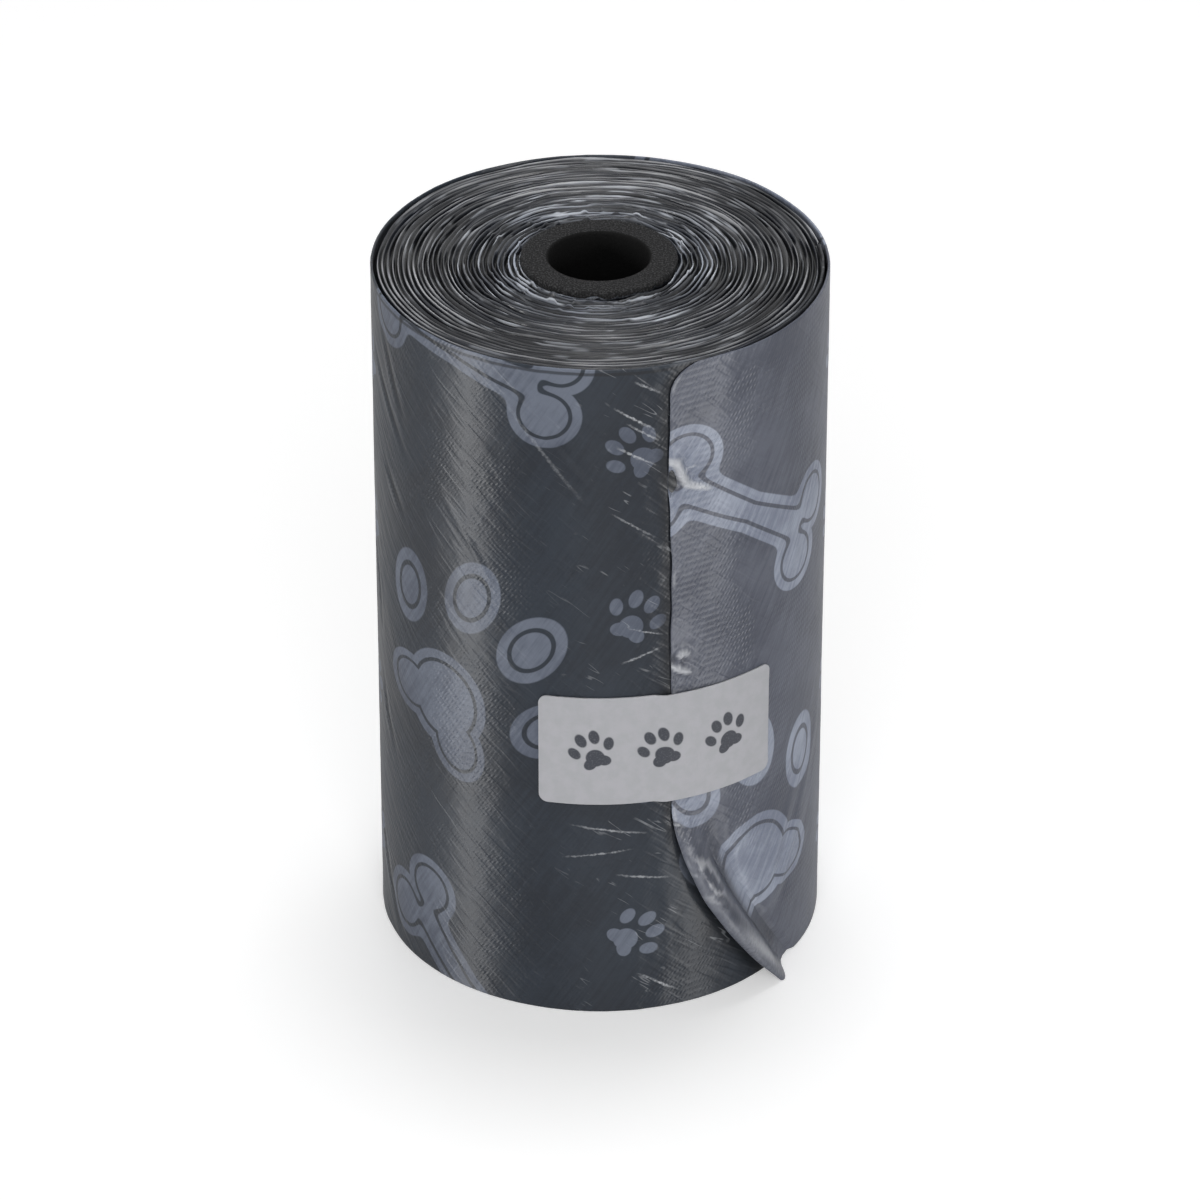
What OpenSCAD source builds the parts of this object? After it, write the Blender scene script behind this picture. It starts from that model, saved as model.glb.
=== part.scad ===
// Roll of dog poop bags: a folded web of thin film wound on a plain core tube.
// The roll stands on one end. Its axis is Z, the foot is at z = 0 and the front is -Y.
// The tail of the web runs to the right from its free edge, round the roll and into the last turn.

/* [Roll] */
// Width of the folded web, which is the length of the roll
web_width = 60; // [50:1:90]
// Diameter over the outermost turn
roll_diameter = 36.6; // [32:0.2:46]
// Number of turns from the core tube to the outside
turns = 30; // [18:1:32]

/* [Turn edges] */
// Width of the gap between the edges of two turns
edge_gap = 0.12; // [0.08:0.01:0.16]
// Depth of the gap between two turns at the top
top_gap_depth = 0.8; // [0.2:0.05:2]
// Depth of the gap between two turns at the foot
foot_gap_depth = 0.4; // [0.2:0.05:2]

/* [Core tube] */
// Outside diameter of the core tube
core_diameter = 12.5; // [10:0.1:16]
// Diameter of the bore through the core tube
core_bore = 8.1; // [6:0.1:9]
// Height of the core tube above the turns
core_proud = 0.3; // [0.15:0.05:1.5]
// Chamfer on the rims of the core tube
core_chamfer = 0.2; // [0.05:0.05:0.4]
// Clearance between the core tube and the first turn
core_clearance = 0.05; // [0.02:0.01:0.1]

/* [Tail] */
// Angle of the free edge to the right of the front, in degrees
tail_angle = 17.2; // [0:0.1:40]
// Length of the tail that lies loose on the roll
tail_length = 26; // [20:0.5:36]
// Air between two turns where the tail lies loose
turn_clearance = 0.04; // [0.03:0.005:0.06]
// How far the free edge leans to the right at the foot
tail_lean = 0.8; // [0:0.1:2]
// Radius of the upper corner of the tail
tail_corner = 3; // [1:0.1:5]
// Height at which the lower corner starts to turn under
fold_height = 19; // [12:0.5:22]
// Length of the foot of the tail that the turned corner takes away
fold_run = 9; // [5:0.1:12]
// Air under the tip of the turned corner
fold_lift = 1.3; // [0.4:0.1:2.5]
// Thickness of the rolled rim along the turned corner
fold_rim = 1.1; // [0.7:0.05:1.6]
// Distance from the free edge to the crest of the rolled rim
rim_crest = 1.35; // [0.8:0.05:2]
// Height of the puckers in the free edge
pucker_lift = 0.45; // [0:0.05:0.8]

/* [Label] */
// Length of the seal label round the roll
label_length = 20; // [14:0.5:24]
// Height of the seal label
label_height = 10; // [6:0.5:14]
// Thickness of the seal label
label_thickness = 0.12; // [0.08:0.01:0.3]
// Radius of the corners of the seal label
label_corner = 0.75; // [0.2:0.05:2]
// Length of the seal label to the left of the free edge
label_lead = 10.4; // [5:0.1:12]
// Height of the seal label above the turned corner
label_rise = 1.3; // [0.5:0.1:4]
// Clearance between the seal label and the web under it
label_clearance = 0.03; // [0.02:0.01:0.08]

/* [Hidden] */
$fn = 180;

// Winding: two half turns about centres a quarter of the pitch off the axis make one turn of the spiral.
// The pitch is kept on a fine grid, so that the half turns meet end to end.
arc_grid = 0.004;
seat_radius = core_diameter / 2 + core_clearance;
roll_radius = roll_diameter / 2;
pitch = round((roll_radius - seat_radius) / turns / arc_grid) * arc_grid;
centre_shift = pitch / 4;
first_radius = roll_radius;
second_radius = first_radius - 2 * centre_shift;
plain_turns = 2;
opening_sweep = 3;

// Tail: its own thickness, its end inside the last turn and the grid that describes it
web_thickness = pitch - 2 * turn_clearance;
tail_sweep = arc_angle(tail_length);
tongue_sweep = 2;
tail_columns = 30;
tail_rows = 38;
corner_rows = 6;
column_bias = 1.35;
edge_share = 0.35;
fold_bend = 1.75;
lift_bend = 1.2;
lift_width = 1.5;
lift_spread = 0.18;
rim_growth = 2.4;
rim_fall = 2.3;
pucker_rises = [3.2, 20.2];
pucker_height = 2.6;
pucker_width = 2.2;

// Label: its place follows the tail
label_foot = fold_height + label_rise;
label_top = label_foot + label_height;
label_bridge = 4;
label_step = 2;
label_start = -arc_angle(label_lead);
label_end = label_start + arc_angle(label_length);
label_middle = (label_start + label_end) / 2;
corner_steps = 6;

// Angle in degrees that a length takes up round the roll
function arc_angle(length) = length / roll_radius * 180 / PI;

// Distance from the axis to a circle whose centre lies at shift on the X axis
function from_axis(radius, shift, angle) =
    shift * cos(angle) + sqrt(radius * radius - pow(shift * sin(angle), 2));

// Smooth bump that is 1 at 0 and 0 from 1 outwards
function bump(x) = pow(max(0, 1 - x * x), 2);

// Share of the turned corner that is still to come at a height
function fold_share(z) = max(0, 1 - z / fold_height);

// Place of the free edge at a height, measured round the roll
function edge_place(z) =
    tail_lean * (1 - z / web_width)
    + fold_run * pow(fold_share(z), fold_bend)
    + corner_place(z - (web_width - tail_corner));

// Rounding of the upper corner
function corner_place(rise) =
    rise <= 0 ? 0 : tail_corner - sqrt(max(0, tail_corner * tail_corner - rise * rise));

// How far the lower corner is rolled at a height
function rolled(z) = min(1, rim_growth * fold_share(z));

// Distance from the free edge to the crest of the rolled rim, or half the web above it
function crest_place(z) = web_thickness / 2 + (rim_crest - web_thickness / 2) * rolled(z);

// Thickness of the tail, which grows towards the rolled rim
function tail_thickness(reach, z) =
    web_thickness
    + (fold_rim - web_thickness) * rolled(z) * bump(max(0, reach - crest_place(z)) / rim_fall);

// Air under the tail
function tail_air(reach, z) =
    turn_clearance
    + fold_lift * pow(fold_share(z), lift_bend) * exp(-pow(reach / (lift_width + lift_spread * z), 2))
    + pucker_lift * bump(reach / pucker_width) * pucker_at(z);

// Puckers above the label
function pucker_at(z) = max([for (rise = pucker_rises) bump((z - label_top - rise) / pucker_height)]);

// Share of the full thickness near the free edge, which is round
function edge_rounding(reach, z) =
    max(edge_share, sqrt(1 - pow(1 - min(1, reach / crest_place(z)), 2)));

// One point of the tail: side is 1 outside and -1 inside
function tail_point(angle, reach, z, side) =
    let (
        thick = tail_thickness(reach, z),
        middle = first_radius - pitch + tail_air(reach, z) + thick / 2,
        radius = from_axis(middle + side * edge_rounding(reach, z) * thick / 2, centre_shift, angle)
    )
    [radius * cos(angle), radius * sin(angle), z];

// Heights of the rows of the tail, closer together at its upper corner
function row_height(row) =
    let (
        foot = turn_clearance,
        bend = web_width - tail_corner,
        plain_rows = tail_rows - corner_rows
    )
    row <= plain_rows ? foot + (bend - foot) * row / plain_rows
    : bend + (tail_corner - turn_clearance) * sin(90 * (row - plain_rows) / corner_rows);

// One column of the tail as a closed loop: outside from the foot to the top, then inside back down
function tail_column(column) =
    let (
        along = pow(min(column, tail_columns) / tail_columns, column_bias),
        extra = column > tail_columns ? tongue_sweep : 0
    )
    [for (side = [1, -1], step = [0:tail_rows])
        let (
            z = row_height(side > 0 ? step : tail_rows - step),
            start = edge_place(z),
            reach = (tail_length - start) * along
        )
        tail_point(arc_angle(start + reach) + extra, reach, z, side)
    ];

// Half of the plane on one side of the X axis
module half_plane(side) {
    translate([-roll_diameter, side > 0 ? 0 : -roll_diameter])
        square([2 * roll_diameter, roll_diameter]);
}

// Part of the upper half of the plane past an angle
module past_angle(angle) {
    reach = 2 * roll_diameter;
    polygon([[0, 0], [reach * cos(angle), reach * sin(angle)], [-reach, reach], [-reach, 0]]);
}

// Gap round the inside of one turn
module turn_gap(radius) {
    difference() {
        circle(radius + edge_gap / 2);
        circle(radius - edge_gap / 2);
    }
}

// Plan of the spiral gap, from the loose tail to the plain turns on the core
module gap_plan() {
    intersection() {
        translate([centre_shift, 0])
            for (turn = [2:turns - plain_turns])
                turn_gap(first_radius - turn * pitch);
        half_plane(1);
    }
    translate([centre_shift, 0])
        intersection() {
            turn_gap(first_radius - pitch);
            past_angle(tail_sweep - opening_sweep);
        }
    intersection() {
        translate([-centre_shift, 0])
            for (turn = [1:turns - plain_turns])
                turn_gap(second_radius - turn * pitch);
        half_plane(-1);
    }
}

// Plan of the winding, which is one turn thinner where the tail lies loose
module winding_plan() {
    intersection() {
        translate([centre_shift, 0])
            circle(first_radius - pitch);
        half_plane(1);
    }
    translate([centre_shift, 0])
        intersection() {
            circle(first_radius);
            past_angle(tail_sweep);
        }
    intersection() {
        translate([-centre_shift, 0])
            circle(second_radius);
        half_plane(-1);
    }
}

// Wound body without the tail, in its own frame with the free edge on the X axis
module winding() {
    difference() {
        linear_extrude(web_width)
            winding_plan();
        translate([0, 0, web_width - top_gap_depth])
            linear_extrude(2 * top_gap_depth)
                gap_plan();
        translate([0, 0, -foot_gap_depth])
            linear_extrude(2 * foot_gap_depth)
                gap_plan();
        translate([0, 0, -web_width])
            cylinder(r = seat_radius, h = 3 * web_width);
    }
}

// Loose tail of the web, whose end runs into the last turn
module tail() {
    ring = 2 * (tail_rows + 1);
    columns = tail_columns + 2;
    points = [for (column = [0:columns - 1]) each tail_column(column)];
    skin = [
        for (column = [0:columns - 2], step = [0:ring - 1])
            let (
                near = column * ring + step,
                next = column * ring + (step + 1) % ring
            )
            each [[near, next, next + ring], [near, next + ring, near + ring]]
    ];
    start_cap = [
        for (row = [0:tail_rows - 1])
            each [[row, ring - 1 - row, row + 1], [row + 1, ring - 1 - row, ring - 2 - row]]
    ];
    last = (columns - 1) * ring;
    end_cap = [
        for (row = [0:tail_rows - 1])
            each [
                [last + row, last + row + 1, last + ring - 1 - row],
                [last + row + 1, last + ring - 2 - row, last + ring - 1 - row]
            ]
    ];
    polyhedron(points = points, faces = concat(skin, start_cap, end_cap), convexity = 6);
}

// Roll of folded bags with its tail
module bag_roll() {
    color([0.27, 0.3, 0.35])
        rotate([0, 0, tail_angle - 90]) {
            winding();
            tail();
        }
}

// Plain tube that the web is wound on
module core_tube() {
    outer = core_diameter / 2;
    inner = core_bore / 2;
    top = web_width + core_proud;
    color([0.2, 0.2, 0.2])
        rotate_extrude()
            polygon([
                [inner, core_chamfer],
                [inner + core_chamfer, 0],
                [outer - core_chamfer, 0],
                [outer, core_chamfer],
                [outer, top - core_chamfer],
                [outer - core_chamfer, top],
                [inner + core_chamfer, top],
                [inner, top - core_chamfer]
            ]);
}

// Distance from the axis to the web under the label
function under_label(angle) =
    let (
        left = from_axis(second_radius, -centre_shift, angle),
        right = from_axis(first_radius - turn_clearance, centre_shift, angle),
        share = min(1, max(0, 1 + angle / label_bridge))
    )
    left + (right - left) * share * share * (3 - 2 * share);

// Arc of the label at a distance from the web, past both of its ends
function label_arc(lift, from, to) = [
    for (angle = [from:(to - from) / ceil(abs(to - from) / label_step):to + (to > from ? 0.01 : -0.01)])
        let (radius = under_label(angle) + lift)
        [radius * cos(angle), radius * sin(angle)]
];

// Rectangle with round corners, centred
function round_rectangle(width, height, radius) = [
    for (corner = [0:3], step = [0:corner_steps])
        let (angle = 90 * corner + 90 * step / corner_steps)
        [
            (corner == 0 || corner == 3 ? 1 : -1) * (width / 2 - radius) + radius * cos(angle),
            (corner < 2 ? 1 : -1) * (height / 2 - radius) + radius * sin(angle)
        ]
];

// Paper label that holds the free edge down
module seal_label() {
    span = (label_end - label_start) / 2;
    width = 2 * roll_radius * sin(span);
    color([0.72, 0.72, 0.74])
        rotate([0, 0, tail_angle - 90])
            intersection() {
                translate([0, 0, label_foot - 1])
                    linear_extrude(label_height + 2)
                        polygon(concat(
                            label_arc(label_clearance, label_start - label_step, label_end + label_step),
                            label_arc(label_clearance + label_thickness, label_end + label_step, label_start - label_step)
                        ));
                rotate([0, 0, label_middle])
                    translate([roll_radius / 2, 0, label_foot + label_height / 2])
                        rotate([90, 0, 90])
                            linear_extrude(roll_radius)
                                polygon(round_rectangle(width, label_height, label_corner));
            }
}

core_tube();
bag_roll();
seal_label();
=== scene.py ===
"""Looks of a roll of dog poop bags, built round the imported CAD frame.

The roll stands on one end: its axis is Z, its foot is at z = 0 and its front is -Y.
A place on the folded web is given by its run, the length in mm from the free edge round
the roll, and by its height over the foot in mm. Sizes are in mm unless a name says metres.
"""

import logging
import math
from dataclasses import dataclass, field
from enum import Enum
from typing import Callable, Optional, Sequence, Union

import bmesh
import bpy
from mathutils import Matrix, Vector, noise


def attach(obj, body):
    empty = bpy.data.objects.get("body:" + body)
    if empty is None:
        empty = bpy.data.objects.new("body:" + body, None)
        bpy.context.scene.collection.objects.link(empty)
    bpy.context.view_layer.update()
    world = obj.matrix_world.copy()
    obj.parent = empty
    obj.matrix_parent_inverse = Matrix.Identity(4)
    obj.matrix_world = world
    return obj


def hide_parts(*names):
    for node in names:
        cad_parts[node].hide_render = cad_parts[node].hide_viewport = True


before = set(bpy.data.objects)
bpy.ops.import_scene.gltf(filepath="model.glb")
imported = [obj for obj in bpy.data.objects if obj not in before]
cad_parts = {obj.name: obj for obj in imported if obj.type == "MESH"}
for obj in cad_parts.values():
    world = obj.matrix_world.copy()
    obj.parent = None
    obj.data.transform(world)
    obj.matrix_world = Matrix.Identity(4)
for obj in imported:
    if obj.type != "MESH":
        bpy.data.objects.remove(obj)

Socket = bpy.types.NodeSocket
Feed = Union[Socket, float, Sequence[float]]
Point = tuple[float, float]
Spot = tuple[float, float, float]
Colour = tuple[float, float, float, float]

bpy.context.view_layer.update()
METRE = 0.001
BODY = "root"
LOG = logging.getLogger("bag_roll")

CORE_BORE = 4.05
LABEL_FOOT = 20.3
LABEL_HEIGHT = 10.0
TURN_MAP_SPAN = 40  # turns that the turn map holds
PLAN_SPAN = 0.038  # width in metres of the plan of an end on the bake map
BAKE_LEAD = 9.0  # mm of the web before the free edge on the bake map
BAKE_RUN = 151.0  # mm of the web that the bake map holds
BAKE_SHARE = 0.98  # share of the bake map that the core tube takes up


# Thin pale lines along creases and curls of the film, which are painted highlights: start and end by run and
# height, width in mm, strength
PALE_LINES = (
    ((101.4, 57.0), (108.4, 48.0), 0.22, 0.2),
    ((110.6, 56.6), (114.0, 54.4), 0.13, 0.75),
    ((111.6, 55.2), (114.3, 53.4), 0.12, 0.6),
    ((110.7, 53.2), (114.1, 51.2), 0.12, 0.65),
    ((112.2, 58.9), (114.4, 57.6), 0.16, 0.6),
    ((110.4, 47.2), (114.2, 44.6), 0.12, 0.4),
    ((111.2, 33.4), (114.6, 34.6), 0.14, 0.6),
    ((111.8, 36.6), (114.8, 35.7), 0.12, 0.55),
    ((107.0, 18.2), (113.6, 17.2), 0.13, 0.55),
    ((106.4, 15.0), (112.4, 15.8), 0.12, 0.5),
    ((110.8, 13.4), (115.6, 12.6), 0.14, 0.5),
    ((112.6, 3.7), (116.4, 1.3), 0.14, 0.7),
    ((-0.3, 51.5), (1.3, 51.3), 0.5, 1.0),
    ((0.5, 51.6), (1.7, 48.9), 0.6, 1.0),
    ((1.1, 49.5), (3.9, 48.3), 0.42, 1.0),
    ((1.2, 50.4), (2.4, 50.8), 0.16, 0.6),
    ((0.2, 32.9), (1.0, 32.3), 0.2, 0.9),
    ((0.9, 32.4), (2.2, 31.8), 0.16, 0.7),
    ((0.4, 17.9), (1.6, 17.4), 0.2, 0.5),
)


# ---------------------------------------------------------------- plain helpers


def tone(red: float, green: float, blue: float) -> Colour:
    """Turns a colour as seen on a screen into the shader's linear colour.

    Args:
        red: Red from 0 to 255.
        green: Green from 0 to 255.
        blue: Blue from 0 to 255.

    Returns:
        The linear colour with an alpha of 1.
    """
    linear = [
        part / 12.92 if part <= 0.04045 else ((part + 0.055) / 1.055) ** 2.4
        for part in (red / 255, green / 255, blue / 255)
    ]
    return (linear[0], linear[1], linear[2], 1.0)


def bump(place: float) -> float:
    """Smooth bump that is 1 at 0 and 0 from 1 outwards."""
    return max(0.0, 1 - place * place) ** 2


def ease(value: float, low: float, high: float) -> float:
    """Smooth step from 0 at low to 1 at high.

    Args:
        value: The value to place.
        low: Where the step starts.
        high: Where the step ends, which may lie below low.

    Returns:
        A share from 0 to 1.
    """
    share = min(1.0, max(0.0, (value - low) / (high - low)))
    return share * share * (3 - 2 * share)


def wander(x: float, y: float = 0.0, seed: float = 0.0) -> float:
    """Soft noise from about -1 to 1 at a place in the plane.

    Args:
        x: First coordinate in units of the wave length.
        y: Second coordinate in units of the wave length.
        seed: Slice of the noise, so that each use has its own.

    Returns:
        The noise value.
    """
    return noise.noise(Vector((x, y, seed)))


def spread(start: float, end: float, step: float) -> list[float]:
    """Even places from start up to, but without, end.

    Args:
        start: First place.
        end: Place that the last step reaches.
        step: Longest step.

    Returns:
        The places.
    """
    count = max(1, math.ceil((end - start) / step))
    return [start + (end - start) * index / count for index in range(count)]


# ---------------------------------------------------------------- winding and tail


@dataclass(frozen=True)
class Winding:
    """Two-centre spiral that the web is wound on, with the sizes of the CAD source."""

    width: float = 60.0
    roll_radius: float = 18.3
    pitch: float = 0.4
    turns: int = 30
    seat_radius: float = 6.3
    tail_angle: float = 17.2

    def sweep(self, run: float) -> float:
        """Angle in degrees that a run takes up round the roll."""
        return math.degrees(run / self.roll_radius)

    def around(self) -> float:
        """Length in mm of one turn round the outside of the roll."""
        return math.radians(360) * self.roll_radius

    def surface(self, sweep: float) -> float:
        """Distance from the axis to the outside of the web.

        Args:
            sweep: Angle from the free edge in degrees, 360 for each turn.

        Returns:
            The distance in mm.
        """
        turn, angle = divmod(sweep, 360.0)
        centre = self.pitch / 4
        radius = self.roll_radius - turn * self.pitch
        if angle >= 180.0:
            radius -= 2 * centre
            centre = -centre
        turned = math.radians(angle)
        return centre * math.cos(turned) + math.sqrt(radius**2 - (centre * math.sin(turned)) ** 2)

    def place(self, sweep: float, radius: float, height: float) -> Spot:
        """Point of the frame in metres.

        Args:
            sweep: Angle from the free edge in degrees.
            radius: Distance from the axis.
            height: Height over the foot.

        Returns:
            The point in metres.
        """
        turned = math.radians(sweep + self.tail_angle - 90)
        return (
            radius * math.cos(turned) * METRE,
            radius * math.sin(turned) * METRE,
            height * METRE,
        )


@dataclass(frozen=True)
class Tail:
    """Loose tail with its free edge, its rolled lower corner and its puckers."""

    winding: Winding
    length: float = 26.0
    lean: float = 0.8
    corner: float = 3.0
    fold_height: float = 19.0
    fold_run: float = 9.0
    fold_lift: float = 1.3
    fold_bend: float = 1.75
    roll_depth: float = 1.15
    roll_half: float = 1.35
    roll_fall: float = 1.9
    channel: float = 0.42
    channel_reach: float = 1.9
    channel_width: float = 1.3
    film: float = 0.11
    edge_gap: float = 0.15
    lift_reach: float = 1.7
    lift_spread: float = 0.16
    tip_lift: float = 0.5
    tip_height: float = 3.0
    tip_reach: float = 2.2
    pressed_in: float = 0.12
    label_foot: float = LABEL_FOOT
    label_top: float = LABEL_FOOT + LABEL_HEIGHT

    def fold_share(self, height: float) -> float:
        """Share of the rolled corner that is still to come at a height."""
        return max(0.0, 1 - max(0.0, height) / self.fold_height)

    def edge(self, height: float) -> float:
        """Run of the free edge at a height.

        Args:
            height: Height over the foot.

        Returns:
            The run of the edge, which leans and turns in at both corners.
        """
        rise = min(self.corner, max(0.0, height - (self.winding.width - self.corner)))
        rounding = self.corner - math.sqrt(self.corner**2 - rise**2)
        waver = 0.09 * wander(height / 2.3, 0, 3.1) + 0.16 * wander(height / 9, 0, 4.7)
        return (
            self.lean * (1 - height / self.winding.width)
            + self.fold_run * self.fold_share(height) ** self.fold_bend
            + rounding
            + waver
        )

    def pressed(self, height: float) -> float:
        """Share of the looseness that the label leaves at a height, from 0 under it to 1 away from it."""
        away = max(self.label_foot - height, height - self.label_top)
        return ease(away, 0.0, 3.0)

    def gap(self, reach: float, height: float) -> float:
        """Air between the tail and the turn under it.

        Args:
            reach: Distance from the free edge.
            height: Height over the foot.

        Returns:
            The air in mm, which sinks below 0 where the tail lies on the turn.
        """
        share = self.fold_share(height)
        loose = self.edge_gap * (0.25 + 0.75 * self.pressed(height))
        loose *= 0.8 + 0.5 * wander(height / 6, 0, 8.2)
        fall = self.lift_reach + self.lift_spread * height
        lifted = self.fold_lift * share**1.2 * math.exp(-((reach / fall) ** 2))
        lifted += self.tip_lift * ease(height, self.tip_height, 0.0) * ease(reach, self.tip_reach, 0.0)
        return loose * ease(reach, 5.0, 0.0) + lifted - self.pressed_in * ease(reach, 3.0, 7.0)

    def rolled(self, height: float) -> float:
        """How far the lower corner is rolled under at a height, from 0 to 1."""
        return min(1.0, 2.4 * self.fold_share(height))

    def nose(self, height: float) -> float:
        """Distance from the free edge to the crest of the rolled rim.

        Args:
            height: Height over the foot.

        Returns:
            The distance in mm, which is half the film where nothing is rolled.
        """
        flat = self.film / 2
        half = self.roll_half * (0.25 + 0.75 * ease(height, 0.0, 4.5))
        return flat + (half - flat) * self.rolled(height)

    def thick(self, reach: float, height: float) -> float:
        """Depth of the film and of the roll along the turned corner.

        Args:
            reach: Distance from the free edge.
            height: Height over the foot.

        Returns:
            The depth in mm.
        """
        rolled = self.rolled(height) * (1 + 0.16 * wander(height / 2.6, 0, 6.4))
        rolled *= 0.3 + 0.7 * ease(height, 0.0, 3.5)
        beyond = max(0.0, reach - self.nose(height))
        return self.film + (self.roll_depth - self.film) * rolled * bump(beyond / self.roll_fall)

    def top(self, reach: float, height: float) -> float:
        """Height of the outside of the tail above the turn under it.

        Args:
            reach: Distance from the free edge.
            height: Height over the foot.

        Returns:
            The height in mm.
        """
        pitch = self.winding.pitch
        lying = self.film + (pitch - self.film) * ease(reach, -1.0, 6.0)
        lifted = self.gap(reach, height) + self.thick(reach, height)
        beyond = reach - self.roll_half - self.channel_reach
        channel = self.channel * self.rolled(height) * bump(beyond / self.channel_width)
        resting = max(lying, lifted) if reach > self.roll_half else lifted
        return max(resting, lying * ease(reach, 0.4, 4.0)) - channel

    def rounding(self, reach: float, height: float) -> float:
        """Share of the full depth near the free edge, which is round."""
        return math.sqrt(1 - (1 - min(1.0, reach / self.nose(height))) ** 2)


# ---------------------------------------------------------------- creases in the film


@dataclass(frozen=True)
class Crease:
    """A crease or fold in the film along a line of places, which gets painted highlight where it stands up
    and painted shade where it sinks.
    """

    line: tuple[Point, ...]
    depth: float
    width: float
    # Share of the crease's lift that is painted, as highlight where it rises and as shade where it sinks
    painted_shading: float = 1.0

    def lift(self, run: float, height: float) -> float:
        """How far the crease lifts the film at a place.

        Args:
            run: Run of the place.
            height: Height of the place.

        Returns:
            The lift in mm, below 0 for a valley.
        """
        nearest = 1e9
        along = 0.0
        for index, (start, end) in enumerate(zip(self.line, self.line[1:])):
            step_x, step_y = end[0] - start[0], end[1] - start[1]
            length = step_x**2 + step_y**2
            share = ((run - start[0]) * step_x + (height - start[1]) * step_y) / length
            share = min(1.0, max(0.0, share))
            away = math.hypot(run - start[0] - share * step_x, height - start[1] - share * step_y)
            if away < nearest:
                nearest = away
                along = (index + share) / (len(self.line) - 1)
        fade = math.sin(math.pi * (0.08 + 0.84 * along))
        ridge = bump(nearest / self.width) - 0.35 * bump((nearest - 1.5 * self.width) / self.width)
        return self.depth * fade * ridge

    def reaches(self, run: float, height: float) -> bool:
        """Whether the crease can lift the film at a place.

        Args:
            run: Run of the place.
            height: Height of the place.

        Returns:
            True where the place is near enough to the line.
        """
        room = 2.6 * self.width
        runs = [place[0] for place in self.line]
        heights = [place[1] for place in self.line]
        beside = min(runs) - room < run < max(runs) + room
        return beside and min(heights) - room < height < max(heights) + room


def film_creases() -> list[Crease]:
    """The creases that the film shows, by run and height.

    Returns:
        The creases.
    """
    valleys = (
        ((84.6, 54.5), (87.6, 51.5), (91.4, 47.4)),
        ((87.2, 57.2), (89.0, 53.6), (90.8, 50.8)),
        ((87.2, 45.4), (88.9, 43.6), (90.8, 42.0)),
        ((83.8, 10.6), (84.6, 8.2), (86.2, 5.2), (89.0, 0.9)),
        ((82.4, 36.5), (84.2, 33.0), (85.2, 29.0)),
        ((85.4, 24.5), (86.6, 21.0), (88.6, 18.4)),
    )
    ridges = (
        ((101.6, 59.2), (104.6, 55.8), (107.2, 52.9)),
        ((103.0, 56.2), (106.0, 52.9), (109.6, 48.4)),
        ((95.2, 46.8), (98.6, 42.6), (101.0, 38.8)),
        ((110.9, 55.9), (112.6, 54.6), (114.4, 52.9)),
        ((110.8, 53.2), (112.4, 51.6), (114.2, 50.3)),
        ((112.0, 59.0), (114.4, 57.8)),
        ((109.8, 47.0), (112.0, 45.2), (114.6, 43.8)),
        ((106.2, 17.6), (109.6, 17.0), (113.4, 18.2)),
        ((105.8, 13.4), (110.0, 14.4), (115.2, 15.9)),
        ((113.4, 2.9), (115.0, 2.0), (118.4, 1.7)),
        ((108.6, 34.4), (111.6, 33.6), (114.6, 34.9)),
        ((111.2, 37.8), (113.6, 36.4), (115.0, 36.9)),
    )
    pulls = (
        ((15.8, 10.7), (11.6, 7.8), (7.5, 4.4)),
        ((17.4, 15.2), (13.0, 10.2), (9.6, 5.6)),
        ((14.8, 18.1), (11.6, 12.4), (9.4, 7.0)),
        ((19.5, 22.0), (15.5, 15.0), (12.0, 9.0)),
        ((8.8, 18.6), (6.6, 14.0), (6.0, 10.0)),
    )
    curls = (
        ((0.1, 51.6), (0.6, 51.3), (1.0, 50.2), (1.7, 49.1), (3.3, 48.5)),
        ((0.2, 32.9), (1.0, 32.4), (2.0, 31.9)),
        ((0.6, 33.4), (1.3, 33.9), (1.9, 33.6)),
    )
    return (
        [Crease(line, -0.12, 0.5) for line in valleys]
        + [Crease(line, 0.05, 0.42, 0.0) for line in ridges]
        + [Crease(line, 0.09, 0.8, 0.25) for line in pulls]
        + [Crease(line, 0.34, 0.5, 0.5) for line in curls]
    )


@dataclass(frozen=True)
class Pucker:
    """A hollow in the free edge with a curled rim round it."""

    height: float
    reach: float
    tall: float
    deep: float

    def lift(self, reach: float, height: float) -> float:
        """How far the pucker lifts the tail at a place.

        Args:
            reach: Distance from the free edge.
            height: Height of the place.

        Returns:
            The lift in mm, below 0 in the hollow.
        """
        across = (reach - 0.4 * self.reach) / self.reach
        up = (height - self.height) / self.tall
        ring = math.hypot(across, up)
        rim = bump((ring - 1.2) / 0.6) * (0.5 + 0.5 * math.sin(math.atan2(up, across) + 0.9))
        return self.deep * (0.45 * rim - bump(ring / 1.05))

    def shade(self, reach: float, height: float) -> float:
        """How much painted shade the hollow gets at a place, from 0 to 1.

        Args:
            reach: Distance from the free edge.
            height: Height of the place.

        Returns:
            The painted shade.
        """
        across = (reach - 0.4 * self.reach) / self.reach
        up = (height - self.height) / self.tall
        return bump(math.hypot(across, up) / 0.95) * min(1.0, 2.2 * self.deep)


# ---------------------------------------------------------------- meshes


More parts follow.
